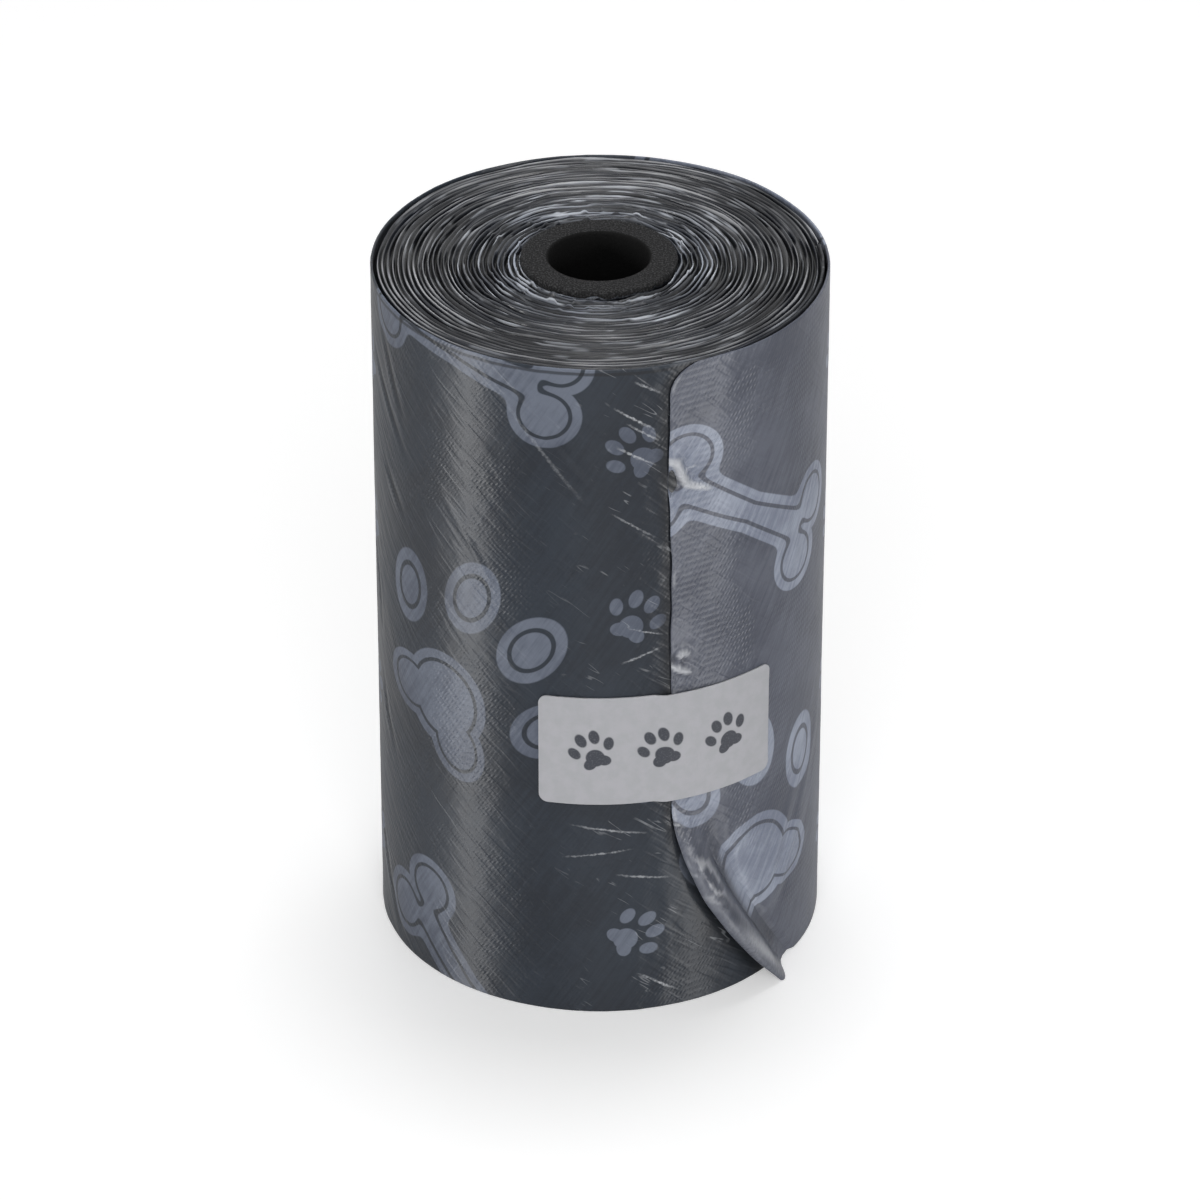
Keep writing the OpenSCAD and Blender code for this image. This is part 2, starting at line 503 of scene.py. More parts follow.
@dataclass
class Patch:
    """Vertices and faces of one piece, with a place on each of its UV maps for every vertex."""

    vertices: list[Spot] = field(default_factory=list)
    faces: list[tuple[int, ...]] = field(default_factory=list)
    maps: dict[str, list[Point]] = field(default_factory=dict)

    def add(self, vertex: Spot, **places: Point) -> int:
        """Adds a vertex.

        Args:
            vertex: The point in metres.
            **places: Its place on each UV map.

        Returns:
            Its number.
        """
        self.vertices.append(vertex)
        for name, place in places.items():
            self.maps.setdefault(name, []).append(place)
        return len(self.vertices) - 1

    def strip(self, near: Sequence[int], next_row: Sequence[int]) -> None:
        """Joins two rows of vertices with quads."""
        for index in range(len(near) - 1):
            self.faces.append((near[index], next_row[index], next_row[index + 1], near[index + 1]))

    def piece(self, name: str, material: bpy.types.Material, slot: str, node: str) -> bpy.types.Object:
        """Makes the object that stands for a CAD node.

        Args:
            name: Name of the piece.
            material: Its finish.
            slot: Material slot of the record, which is not used.
            node: CAD node that it replaces.

        Returns:
            The object, which rides on the part's body.
        """
        mesh = bpy.data.meshes.new(name)
        mesh.from_pydata(self.vertices, [], self.faces)
        for layer_name, places in self.maps.items():
            layer = mesh.uv_layers.new(name=layer_name)
            flat = [part for loop in mesh.loops for part in places[loop.vertex_index]]
            layer.data.foreach_set("uv", flat)
        mesh.materials.append(material)
        mesh.shade_smooth()
        mesh.update()
        made = bpy.data.objects.new(name, mesh)
        bpy.context.scene.collection.objects.link(made)
        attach(made, BODY)
        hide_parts(node)
        LOG.info("%s: %d vertices, %d faces", name, len(self.vertices), len(self.faces))
        return made


# ---------------------------------------------------------------- node wiring


class Wiring:
    """Adds nodes to one node tree and joins them."""

    def __init__(self, tree: bpy.types.NodeTree) -> None:
        """Keeps the tree that the nodes go into."""
        self.tree = tree

    def feed(self, socket: Socket, value: Feed) -> None:
        """Links a socket to another or sets its value.

        Args:
            socket: The socket that is fed.
            value: Another socket, or a plain value.
        """
        if isinstance(value, Socket):
            self.tree.links.new(value, socket)
        else:
            socket.default_value = value

    def add(
        self, kind: str, feeds: Optional[dict[Union[int, str], Feed]] = None, **settings: object
    ) -> bpy.types.Node:
        """Adds a node.

        Args:
            kind: Blender's name of the node type.
            feeds: What each input gets.
            **settings: Properties of the node.

        Returns:
            The node.
        """
        node = self.tree.nodes.new(kind)
        for key, value in settings.items():
            setattr(node, key, value)
        for key, value in (feeds or {}).items():
            self.feed(node.inputs[key], value)
        return node

    def math(self, operation: str, first: Feed, second: Feed = 0.0, third: Feed = 0.0) -> Socket:
        """Adds a Math node.

        Args:
            operation: Blender's name of the operation.
            first: First input.
            second: Second input.
            third: Third input.

        Returns:
            Its output.
        """
        return self.add("ShaderNodeMath", {0: first, 1: second, 2: third}, operation=operation).outputs[0]

    def vector(self, operation: str, first: Feed, second: Feed = (0.0, 0.0, 0.0)) -> Socket:
        """Adds a Vector Math node.

        Args:
            operation: Blender's name of the operation.
            first: First vector.
            second: Second vector.

        Returns:
            Its vector, or its number where the operation gives one.
        """
        made = self.add("ShaderNodeVectorMath", {0: first, 1: second}, operation=operation)
        return made.outputs["Value" if operation in ("LENGTH", "DOT_PRODUCT") else "Vector"]

    def rise(self, value: Feed, low: Feed, high: Feed, start: Feed = 0.0, end: Feed = 1.0) -> Socket:
        """Adds a smooth step.

        Args:
            value: The value to place.
            low: Where the step starts.
            high: Where the step ends.
            start: Result at low.
            end: Result at high.

        Returns:
            The result.
        """
        feeds = {"Value": value, "From Min": low, "From Max": high, "To Min": start, "To Max": end}
        return self.add("ShaderNodeMapRange", feeds, interpolation_type="SMOOTHSTEP").outputs["Result"]

    def blend(self, share: Feed, first: Feed, second: Feed) -> Socket:
        """Mixes two colours.

        Args:
            share: Share of the second.
            first: First colour.
            second: Second colour.

        Returns:
            The mixed colour.
        """
        return self.add("ShaderNodeMix", {0: share, 6: first, 7: second}, data_type="RGBA").outputs[2]

    def grain(self, place: Feed, scale: float, detail: float = 2.0, rough: float = 0.5) -> Socket:
        """Adds a noise texture.

        Args:
            place: Where it is read.
            scale: Its scale.
            detail: Its octaves.
            rough: Share of the finer octaves.

        Returns:
            A value round 0.5.
        """
        feeds = {"Vector": place, "Scale": scale, "Detail": detail, "Roughness": rough}
        return self.add("ShaderNodeTexNoise", feeds).outputs[0]

    def split(self, vector: Feed) -> tuple[Socket, Socket, Socket]:
        """Splits a vector into its three parts."""
        made = self.add("ShaderNodeSeparateXYZ", {0: vector})
        return made.outputs[0], made.outputs[1], made.outputs[2]

    def join(self, x: Feed, y: Feed, z: Feed = 0.0) -> Socket:
        """Joins three numbers into a vector."""
        return self.add("ShaderNodeCombineXYZ", {0: x, 1: y, 2: z}).outputs[0]

    def turned(self, vector: Feed, angle: Feed) -> Socket:
        """Turns a vector about Z by an angle in radians."""
        feeds = {"Vector": vector, "Angle": angle}
        return self.add("ShaderNodeVectorRotate", feeds, rotation_type="Z_AXIS").outputs[0]

    def chance(self, key: Feed) -> Socket:
        """A number from 0 to 1 that is drawn for a key, the same each time."""
        return self.add("ShaderNodeTexWhiteNoise", {"Vector": key}, noise_dimensions="3D").outputs[0]

    def least(self, values: Sequence[Socket]) -> Socket:
        """The least of several values.

        Args:
            values: The values.

        Returns:
            The output with the least of them.
        """
        result = values[0]
        for value in values[1:]:
            result = self.math("MINIMUM", result, value)
        return result


VECTOR = "NodeSocketVector"
NUMBER = "NodeSocketFloat"


class Group(Enum):
    """Shader node groups that the materials share."""

    OVAL = "oval_mark"
    PAW = "paw_mark"
    BONE = "bone_mark"
    EMBOSS = "film_emboss"
    LINE = "crease_line"
    SPECKLE = "fine_speckle"


class GroupShelf:
    """Builds each shader node group once and places it where a material needs it."""

    def __init__(self) -> None:
        """Starts with an empty shelf."""
        self.makers: dict[Group, Callable[[], bpy.types.NodeTree]] = {
            Group.OVAL: self.make_oval,
            Group.PAW: self.make_paw,
            Group.BONE: self.make_bone,
            Group.EMBOSS: self.make_emboss,
            Group.LINE: self.make_line,
            Group.SPECKLE: self.make_speckle,
        }
        self.made: dict[Group, bpy.types.NodeTree] = {}

    def place(self, wiring: Wiring, group: Group, feeds: dict[str, Feed]) -> bpy.types.Node:
        """Places a group in a tree.

        Args:
            wiring: The tree that it goes into.
            group: Which group.
            feeds: What each of its inputs gets.

        Returns:
            The group node.
        """
        if group not in self.made:
            self.made[group] = self.makers[group]()
        node = wiring.tree.nodes.new("ShaderNodeGroup")
        node.node_tree = self.made[group]
        for key, value in feeds.items():
            wiring.feed(node.inputs[key], value)
        return node

    def start(
        self, group: Group, inputs: dict[str, str], outputs: Sequence[str]
    ) -> tuple[Wiring, dict[str, Socket], dict[str, Socket]]:
        """Starts a node group.

        Args:
            group: Which group.
            inputs: Name and socket type of each input.
            outputs: Names of the outputs, which are all numbers.

        Returns:
            The wiring of its tree, its inputs by name and its outputs by name.
        """
        tree = bpy.data.node_groups.new(group.value, "ShaderNodeTree")
        for name, kind in inputs.items():
            tree.interface.new_socket(name=name, in_out="INPUT", socket_type=kind)
        for name in outputs:
            tree.interface.new_socket(name=name, in_out="OUTPUT", socket_type=NUMBER)
        entry = tree.nodes.new("NodeGroupInput")
        leave = tree.nodes.new("NodeGroupOutput")
        return (
            Wiring(tree),
            {name: entry.outputs[name] for name in inputs},
            {name: leave.inputs[name] for name in outputs},
        )

    def make_oval(self) -> bpy.types.NodeTree:
        """Distance to an oval, below 0 inside it.

        Returns:
            The tree of the group.
        """
        kinds = {"Place": VECTOR, "Centre": VECTOR, "Half": VECTOR, "Turn": NUMBER}
        wiring, taken, given = self.start(Group.OVAL, kinds, ["Distance"])
        moved = wiring.vector("SUBTRACT", taken["Place"], taken["Centre"])
        level = wiring.vector("DIVIDE", wiring.turned(moved, taken["Turn"]), taken["Half"])
        width, _, _ = wiring.split(taken["Half"])
        beyond = wiring.math("SUBTRACT", wiring.vector("LENGTH", level), 1.0)
        wiring.feed(given["Distance"], wiring.math("MULTIPLY", beyond, width))
        return wiring.tree

    def make_paw(self) -> bpy.types.NodeTree:
        """Distance to a paw of four toes and a pad, in units of half its width.

        Returns:
            The tree of the group.
        """
        wiring, taken, given = self.start(Group.PAW, {"Place": VECTOR}, ["Distance"])
        x, y, _ = wiring.split(taken["Place"])
        folded = wiring.join(wiring.math("ABSOLUTE", x), y)
        ovals = (
            ((0.7, 0.14, 0.0), (0.2, 0.29, 1.0), 0.42),
            ((0.27, 0.6, 0.0), (0.21, 0.31, 1.0), 0.12),
            ((0.0, -0.3, 0.0), (0.37, 0.38, 1.0), 0.0),
            ((0.27, -0.5, 0.0), (0.29, 0.23, 1.0), 0.5),
        )
        parts = []
        for centre, half, turn in ovals:
            feeds = {"Place": folded, "Centre": centre, "Half": half, "Turn": turn}
            parts.append(self.place(wiring, Group.OVAL, feeds).outputs[0])
        wiring.feed(given["Distance"], wiring.least(parts))
        return wiring.tree

    def make_bone(self) -> bpy.types.NodeTree:
        """Distance to a bone, in units of half its length.

        Returns:
            The tree of the group.
        """
        wiring, taken, given = self.start(Group.BONE, {"Place": VECTOR}, ["Distance"])
        x, y, _ = wiring.split(taken["Place"])
        side, up = wiring.math("ABSOLUTE", x), wiring.math("ABSOLUTE", y)
        knob_centre = (0.72, 0.21, 0.0)
        knob_feeds = {
            "Place": wiring.join(side, up), "Centre": knob_centre, "Half": (0.26, 0.24, 1.0), "Turn": 0.5
        }
        knob = self.place(wiring, Group.OVAL, knob_feeds).outputs[0]
        shaft_edge = wiring.math("MULTIPLY_ADD", side, 0.07, 0.15)
        shaft_side = wiring.math("SUBTRACT", up, shaft_edge)
        shaft_end = wiring.math("SUBTRACT", side, knob_centre[0])
        shaft = wiring.math("MAXIMUM", shaft_side, shaft_end)
        wiring.feed(given["Distance"], wiring.math("SMOOTH_MIN", knob, shaft, 0.14))
        return wiring.tree

    def make_emboss(self) -> bpy.types.NodeTree:
        """Fine slanting dashes of the film with its drawn streaks and wrinkles, and thin lines for painted
        glints, by place in mm.

        Returns:
            The tree of the group.
        """
        outputs = ["Dashes", "Streaks", "Wrinkles", "Glint Lines"]
        wiring, taken, given = self.start(Group.EMBOSS, {"Place": VECTOR}, outputs)
        place = taken["Place"]
        slanted = wiring.turned(place, math.radians(-58))
        along, across, _ = wiring.split(slanted)
        waver = wiring.math("MULTIPLY", wiring.grain(place, 0.9), 1.3)
        first = wiring.math("SINE", wiring.math("MULTIPLY_ADD", across, 20.0, waver))
        sheared = wiring.math("MULTIPLY_ADD", along, 9.0, wiring.math("MULTIPLY", across, 7.0))
        second = wiring.math("SINE", sheared)
        ribs = [wiring.math("MULTIPLY_ADD", wave, 0.5, 0.5) for wave in (first, second)]
        lattice = wiring.math("MULTIPLY", *ribs)
        patches = wiring.rise(wiring.grain(place, 0.16, 2.0, 0.55), 0.4, 0.66)
        pressed = wiring.math("MULTIPLY_ADD", patches, 0.85, 0.15)
        wiring.feed(given["Dashes"], wiring.math("MULTIPLY", lattice, pressed))
        whitening_and_highlight = wiring.vector("MULTIPLY", slanted, (0.22, 2.6, 1.0))
        wiring.feed(given["Streaks"], wiring.grain(whitening_and_highlight, 1.0, 3.0, 0.6))
        bent = wiring.vector("MULTIPLY", wiring.turned(place, math.radians(40)), (0.12, 0.75, 1.0))
        folded = wiring.math("SUBTRACT", wiring.grain(bent, 1.0, 2.0, 0.55), 0.5)
        wiring.feed(given["Wrinkles"], wiring.rise(wiring.math("ABSOLUTE", folded), 0.12, 0.0))
        # Thin lines that the film's colour uses as painted glints
        lined = wiring.vector("MULTIPLY", wiring.turned(place, math.radians(36)), (0.16, 1.1, 1.0))
        glint_lines = wiring.math("SUBTRACT", wiring.grain(lined, 1.0, 1.0, 0.5), 0.52)
        level = wiring.math("ABSOLUTE", glint_lines)
        kept = wiring.rise(wiring.grain(place, 0.42, 2.0, 0.5), 0.56, 0.66)
        wiring.feed(given["Glint Lines"], wiring.math("MULTIPLY", wiring.rise(level, 0.02, 0.004), kept))
        return wiring.tree

    def make_line(self) -> bpy.types.NodeTree:
        """Thin broken line between two places in mm, which fades at both ends.

        Returns:
            The tree of the group.
        """
        kinds = {"Place": VECTOR, "Start": VECTOR, "End": VECTOR, "Width": NUMBER, "Fray": NUMBER}
        wiring, taken, given = self.start(Group.LINE, kinds, ["Mask"])
        whole = wiring.vector("SUBTRACT", taken["End"], taken["Start"])
        part = wiring.vector("SUBTRACT", taken["Place"], taken["Start"])
        reached = wiring.vector("DOT_PRODUCT", part, whole)
        share = wiring.math("DIVIDE", reached, wiring.vector("DOT_PRODUCT", whole, whole))
        inside = wiring.math("MINIMUM", wiring.math("MAXIMUM", share, 0.0), 1.0)
        nearest = wiring.vector("MULTIPLY", whole, wiring.join(inside, inside, inside))
        away = wiring.vector("LENGTH", wiring.vector("SUBTRACT", part, nearest))
        strayed = wiring.math("ABSOLUTE", wiring.math("ADD", away, taken["Fray"]))
        faded = wiring.math("SINE", wiring.math("MULTIPLY", inside, math.pi))
        wiring.feed(given["Mask"], wiring.math("MULTIPLY", wiring.rise(strayed, taken["Width"], 0.0), faded))
        return wiring.tree

    def make_speckle(self) -> bpy.types.NodeTree:
        """Fine speckle with a slow mottle under it, by place in mm.

        Returns:
            The tree of the group.
        """
        wiring, taken, given = self.start(Group.SPECKLE, {"Place": VECTOR}, ["Fine", "Mottle"])
        wiring.feed(given["Fine"], wiring.grain(taken["Place"], 6.5, 2.0, 0.7))
        wiring.feed(given["Mottle"], wiring.grain(taken["Place"], 0.8, 3.0, 0.6))
        return wiring.tree


# ---------------------------------------------------------------- finishes


class Finish:
    """Base of the finishes: a material with one Principled shader."""

    name = "finish"

    def begin(self) -> tuple[bpy.types.Material, Wiring, bpy.types.Node]:
        """Starts the material.

        Returns:
            The material, the wiring of its tree and its Principled shader.
        """
        material = bpy.data.materials.new(self.name)
        material.use_nodes = True
        wiring = Wiring(material.node_tree)
        shader = material.node_tree.nodes["Principled BSDF"]
        return material, wiring, shader

    @staticmethod
    def map_place(wiring: Wiring, layer: str) -> Socket:
        """Place in mm on a UV map that is written in metres."""
        read = wiring.add("ShaderNodeUVMap", uv_map=layer).outputs[0]
        return wiring.vector("MULTIPLY", read, (1000.0, 1000.0, 0.0))

    @staticmethod
    def solid_place(wiring: Wiring) -> Socket:
        """Place in mm in the piece's own space."""
        read = wiring.add("ShaderNodeTexCoord").outputs["Object"]
        return wiring.vector("MULTIPLY", read, (1000.0, 1000.0, 1000.0))

    @staticmethod
    def roughen(
        wiring: Wiring, shader: bpy.types.Node, height: Socket, distance: float, strength: float
    ) -> None:
        """Feeds the shader's normal from a height.

        Args:
            wiring: Wiring of the material.
            shader: Its Principled shader.
            height: The height, from about 0 to 1.
            distance: What a height of 1 stands for, in metres.
            strength: Strength of the relief.
        """
        feeds = {"Height": height, "Distance": distance, "Strength": strength}
        wiring.feed(shader.inputs["Normal"], wiring.add("ShaderNodeBump", feeds).outputs[0])


@dataclass(frozen=True)
class FilmFinish(Finish):
    """Slate film with a soft gloss, a fine emboss and a large pale print of paws and bones."""

    name = "slate_film"
    base: Colour = tone(35, 42, 52)
    tail_base: Colour = tone(91, 95, 107)
    ink: Colour = tone(100, 107, 121)
    tail_ink: Colour = tone(152, 159, 175)
    thin_shade: Colour = (0.64, 0.65, 0.69, 1.0)
    thick_shade: Colour = (1.18, 1.17, 1.15, 1.0)
    under_rim: Colour = tone(20, 22, 27)
    # Colour of painted shade
    hollow: Colour = tone(17, 19, 24)
    # Colour of painted highlight lines
    line: Colour = tone(214, 217, 222)
    # Colour of pale patches: painted highlight, partly whitening of stretched film
    whitening_and_highlight: Colour = tone(196, 198, 203)
    tile: float = 30.0
    tile_start: float = -7.6
    motif: float = 11.8
    small_motif: float = 2.7
    fold_height: float = Tail.fold_height
    fold_run: float = Tail.fold_run
    fold_bend: float = Tail.fold_bend
    relief: float = 0.00006

    def print_mask(self, wiring: Wiring, shelf: GroupShelf, place: Socket) -> Socket:
        """Mask of the print: staggered large paws and bones with small paws between them.

        Args:
            wiring: Wiring of the material.
            shelf: The shared node groups.
            place: Place on the web in mm.

        Returns:
            1 on the print and 0 beside it.
        """
        run, height, _ = wiring.split(place)
        tile_x = wiring.math("DIVIDE", wiring.math("SUBTRACT", run, self.tile_start), self.tile)
        column = wiring.math("FLOOR", tile_x)
        odd = wiring.math("FLOORED_MODULO", column, 2.0)
        level = wiring.math("DIVIDE", height, self.tile)
        tile_y = wiring.math("ADD", level, wiring.math("MULTIPLY", odd, 0.5))
        row = wiring.math("FLOOR", tile_y)
        within = [wiring.math("SUBTRACT", wiring.math("FRACT", part), 0.5) for part in (tile_x, tile_y)]
        local = wiring.join(*(wiring.math("MULTIPLY", part, self.tile / self.motif) for part in within))
        aside = wiring.math("MULTIPLY_ADD", wiring.chance(wiring.join(column, row, 4.0)), 1.5, -0.75)
        paw = shelf.place(wiring, Group.PAW, {"Place": wiring.turned(local, aside)}).outputs[0]
        leaning = wiring.math("ADD", aside, 0.6)
        bone = shelf.place(wiring, Group.BONE, {"Place": wiring.turned(local, leaning)}).outputs[0]
        kind = wiring.math("FLOORED_MODULO", wiring.math("ADD", column, row), 2.0)
        large = wiring.add("ShaderNodeMix", {0: kind, 2: paw, 3: bone}).outputs[0]
        body = wiring.rise(large, 0.006, -0.006)
        # A dark line runs inside the outline of each large motif
        inline = wiring.math("MULTIPLY", wiring.rise(large, -0.062, -0.07), wiring.rise(large, -0.098, -0.09))
        between_x = wiring.math("FLOOR", wiring.math("ADD", tile_x, 0.5))
        between_y = wiring.math("DIVIDE", height, self.tile / 2)
        small_x = wiring.math("SUBTRACT", tile_x, between_x)
        small_y = wiring.math("SUBTRACT", wiring.math("FRACT", between_y), 0.5)
        small_place = wiring.join(
            wiring.math("MULTIPLY", small_x, self.tile / self.small_motif),
            wiring.math("MULTIPLY", small_y, self.tile / 2 / self.small_motif),
        )
        small_key = wiring.join(between_x, wiring.math("FLOOR", between_y), 9.0)
        small_turn = wiring.math("MULTIPLY_ADD", wiring.chance(small_key), 3.0, -1.5)
        small = shelf.place(wiring, Group.PAW, {"Place": wiring.turned(small_place, small_turn)}).outputs[0]
        small_body = wiring.rise(small, 0.02, -0.02)
        whole = wiring.math("MAXIMUM", wiring.math("SUBTRACT", body, inline), small_body)
        left = wiring.math("MAXIMUM", wiring.math("MULTIPLY_ADD", height, -1 / self.fold_height, 1.0), 0.0)
        edge = wiring.math("MULTIPLY", wiring.math("POWER", left, self.fold_bend), self.fold_run)
        past_fold = wiring.rise(wiring.math("SUBTRACT", run, edge), 3.3, 4.3)
        clear = wiring.math("MAXIMUM", past_fold, wiring.rise(height, 15.0, 17.0))
        return wiring.math("MULTIPLY", whole, clear)

    @staticmethod
    def drawn_lines(wiring: Wiring, shelf: GroupShelf, place: Socket) -> Socket:
        """Thin pale lines along the film's creases and curls, which are painted highlights.

        Args:
            wiring: Wiring of the material.
            shelf: The shared node groups.
            place: Place on the web in mm.

        Returns:
            1 on the lines and 0 beside them.
        """
        result: Feed = 0.0
        ragged = wiring.grain(place, 2.6, 2.0, 0.65)
        fray = wiring.math("MULTIPLY_ADD", ragged, 0.34, -0.17)
        for start, end, width, strength in PALE_LINES:
            feeds = {"Place": place, "Start": (*start, 0.0), "End": (*end, 0.0), "Width": width, "Fray": fray}
            mask = shelf.place(wiring, Group.LINE, feeds).outputs[0]
            result = wiring.math("MAXIMUM", result, wiring.math("MULTIPLY", mask, strength))
        broken = wiring.rise(wiring.grain(place, 3.4, 1.0, 0.5), 0.36, 0.58, 0.4, 1.0)
        return wiring.math("MULTIPLY", result, broken)

    def make(self, shelf: GroupShelf) -> bpy.types.Material:
        """Makes the material.

        Args:
            shelf: The shared node groups.

        Returns:
            The material.
        """
        material, wiring, shader = self.begin()
        place = self.map_place(wiring, "Web")
        run, height, _ = wiring.split(place)
        # Painted highlight and painted shade, read from their map.
        pale, dark, _ = wiring.split(wiring.add("ShaderNodeUVMap", uv_map="Marks").outputs[0])
        emboss = shelf.place(wiring, Group.EMBOSS, {"Place": place})
        inked = self.print_mask(wiring, shelf, place)
        # The loose tail is coloured lighter than the wrap, partly as a looser, lighter film and partly as
        # painted sheen.
        on_tail = wiring.rise(run, 58.0, 24.0)
        ground = wiring.blend(on_tail, self.base, self.tail_base)
        ink = wiring.blend(on_tail, self.ink, self.tail_ink)
        cloud = wiring.grain(place, 0.11, 4.0, 0.62)
        clouded = wiring.math("MULTIPLY", cloud, 0.65)
        drawn = wiring.math("MULTIPLY_ADD", emboss.outputs["Streaks"], 0.35, clouded)
        shade = wiring.blend(wiring.rise(drawn, 0.38, 0.62), self.thin_shade, self.thick_shade)
        worn = wiring.math("MULTIPLY", inked, wiring.rise(drawn, 0.2, 0.5, 0.86, 1.0))
        coloured = wiring.blend(worn, ground, ink)
        shaded = {0: 1.0, 6: coloured, 7: shade}
        varied = wiring.add("ShaderNodeMix", shaded, data_type="RGBA", blend_type="MULTIPLY").outputs[2]
        below_rim = wiring.math("MULTIPLY", wiring.rise(height, 59.4, 59.55), wiring.rise(height, 59.8, 59.7))
        on_wrap = wiring.rise(run, 16.0, 40.0)
        rim_share = wiring.math("MULTIPLY", below_rim, wiring.math("MULTIPLY", on_wrap, 0.7))
        rimmed = wiring.blend(rim_share, varied, self.under_rim)
        # Painted shade darkens the film towards a near-black colour.
        with_painted_shade = wiring.blend(wiring.math("MULTIPLY", dark, 0.8), rimmed, self.hollow)
        # Painted glint lines near the free edge, and painted highlights along creases and curls.
        glint_lines = wiring.math("MULTIPLY", emboss.outputs["Glint Lines"], wiring.rise(run, 104.0, 113.0, 0.03, 0.24))
        lines = self.drawn_lines(wiring, shelf, place)
        lined_with_highlights = wiring.blend(wiring.math("MAXIMUM", glint_lines, lines), with_painted_shade, self.line)
        # Pale patches: painted highlight on folds and crumples, partly whitening of stretched film.
        whitened_and_lit = wiring.blend(wiring.math("MULTIPLY", pale, 0.72), lined_with_highlights, self.whitening_and_highlight)
        wiring.feed(shader.inputs["Base Color"], whitened_and_lit)
        shader.inputs["Anisotropic"].default_value = 0.9
        shader.inputs["Anisotropic Rotation"].default_value = 0.25
        gloss = wiring.math("MULTIPLY_ADD", cloud, 0.24, 0.36)
        wiring.feed(shader.inputs["Roughness"], wiring.math("MULTIPLY_ADD", inked, 0.06, gloss))
        shader.inputs["Specular IOR Level"].default_value = 0.35
        raised = wiring.math("MULTIPLY", emboss.outputs["Dashes"], wiring.rise(run, 58.0, 24.0, 0.26, 0.9))
        ridged = wiring.math("MULTIPLY_ADD", emboss.outputs["Streaks"], 0.26, raised)
        wrinkled = wiring.math("MULTIPLY_ADD", emboss.outputs["Wrinkles"], 0.36, ridged)
        self.roughen(wiring, shader, wrinkled, self.relief, 0.9)
        return material


@dataclass(frozen=True)
class EdgeFinish(Finish):
    """Cut edges of the film: thin crests lightened with painted highlight, and gaps between the turns
    darkened with painted shade.
    """

    name = "film_edges"
    # Crest colours are painted highlight; flank and depth colours are painted shade
    crest: Colour = tone(170, 171, 174)
    inner_crest: Colour = tone(180, 187, 200)
    glint: Colour = tone(212, 217, 226)
    flank: Colour = tone(25, 29, 38)
    depth: Colour = tone(7, 8, 10)
    relief: float = 0.00004

    @staticmethod
    def by_turn(wiring: Wiring, place: Socket, turns: Socket, across: float, between: float) -> Socket:
        """Place for a noise that runs along the turns and changes from one turn to the next.

        Args:
            wiring: Wiring of the material.
            place: Place on the piece in mm.
            turns: Turns from the free edge.
            across: Scale of the noise along the turns.
            between: Scale of the noise from one turn to the next.

        Returns:
            The place.
        """
        x, y, _ = wiring.split(wiring.vector("MULTIPLY", place, (across, across, 0.0)))
        return wiring.join(x, y, wiring.math("MULTIPLY", turns, between))

    def make(self, shelf: GroupShelf) -> bpy.types.Material:
        """Makes the material.

        Args:
            shelf: The shared node groups.

        Returns:
            The material.
        """
        material, wiring, shader = self.begin()
        read = wiring.add("ShaderNodeUVMap", uv_map="Turn").outputs[0]
        turn, rise, _ = wiring.split(read)
        place = self.solid_place(wiring)
        speckle = shelf.place(wiring, Group.SPECKLE, {"Place": place})
        turns = wiring.math("MULTIPLY", turn, float(TURN_MAP_SPAN))
        singles = wiring.grain(self.by_turn(wiring, place, turns, 0.11, 1.3), 1.0, 1.0)
        single = wiring.rise(singles, 0.38, 0.66)
        bundles = wiring.grain(self.by_turn(wiring, place, turns, 0.11, 0.36), 1.0, 2.0)
        bundle = wiring.rise(bundles, 0.36, 0.6)
        strength = wiring.math("MULTIPLY_ADD", wiring.math("MULTIPLY", single, bundle), 0.95, 0.05)
        # Crests lightened as painted highlight, stronger on some turns than on others.
        lit = wiring.math("MULTIPLY", wiring.rise(rise, 0.74, 0.96), strength)
        # Gaps darkened towards near black as painted shade, most where they stand open.
        open_share = wiring.math("MULTIPLY_ADD", bundle, 0.6, 0.4)
        sunk = wiring.math("MULTIPLY", wiring.rise(rise, 0.3, 0.85), open_share)
        lower = wiring.blend(sunk, self.depth, self.flank)
        crest = wiring.blend(wiring.rise(turns, 14.0, 27.0), self.crest, self.inner_crest)
        drawn = wiring.blend(lit, lower, crest)
        # Painted glints on the crests, more of them towards the core.
        glint_noise = wiring.grain(self.by_turn(wiring, place, turns, 0.26, 2.3), 1.0, 1.0, 0.5)
        inward = wiring.rise(turns, 9.0, 22.0, 0.25, 0.75)
        glint_spots = wiring.math("MULTIPLY", wiring.rise(glint_noise, 0.58, 0.7), inward)
        glint = wiring.math("MULTIPLY", glint_spots, wiring.rise(rise, 0.5, 0.9))
        wiring.feed(shader.inputs["Base Color"], wiring.blend(glint, drawn, self.glint))
        uneven = wiring.math("MULTIPLY_ADD", speckle.outputs["Fine"], 0.25, 0.22)
        wiring.feed(shader.inputs["Roughness"], uneven)
        shader.inputs["Specular IOR Level"].default_value = 0.35
        self.roughen(wiring, shader, speckle.outputs["Fine"], self.relief, 0.6)
        return material


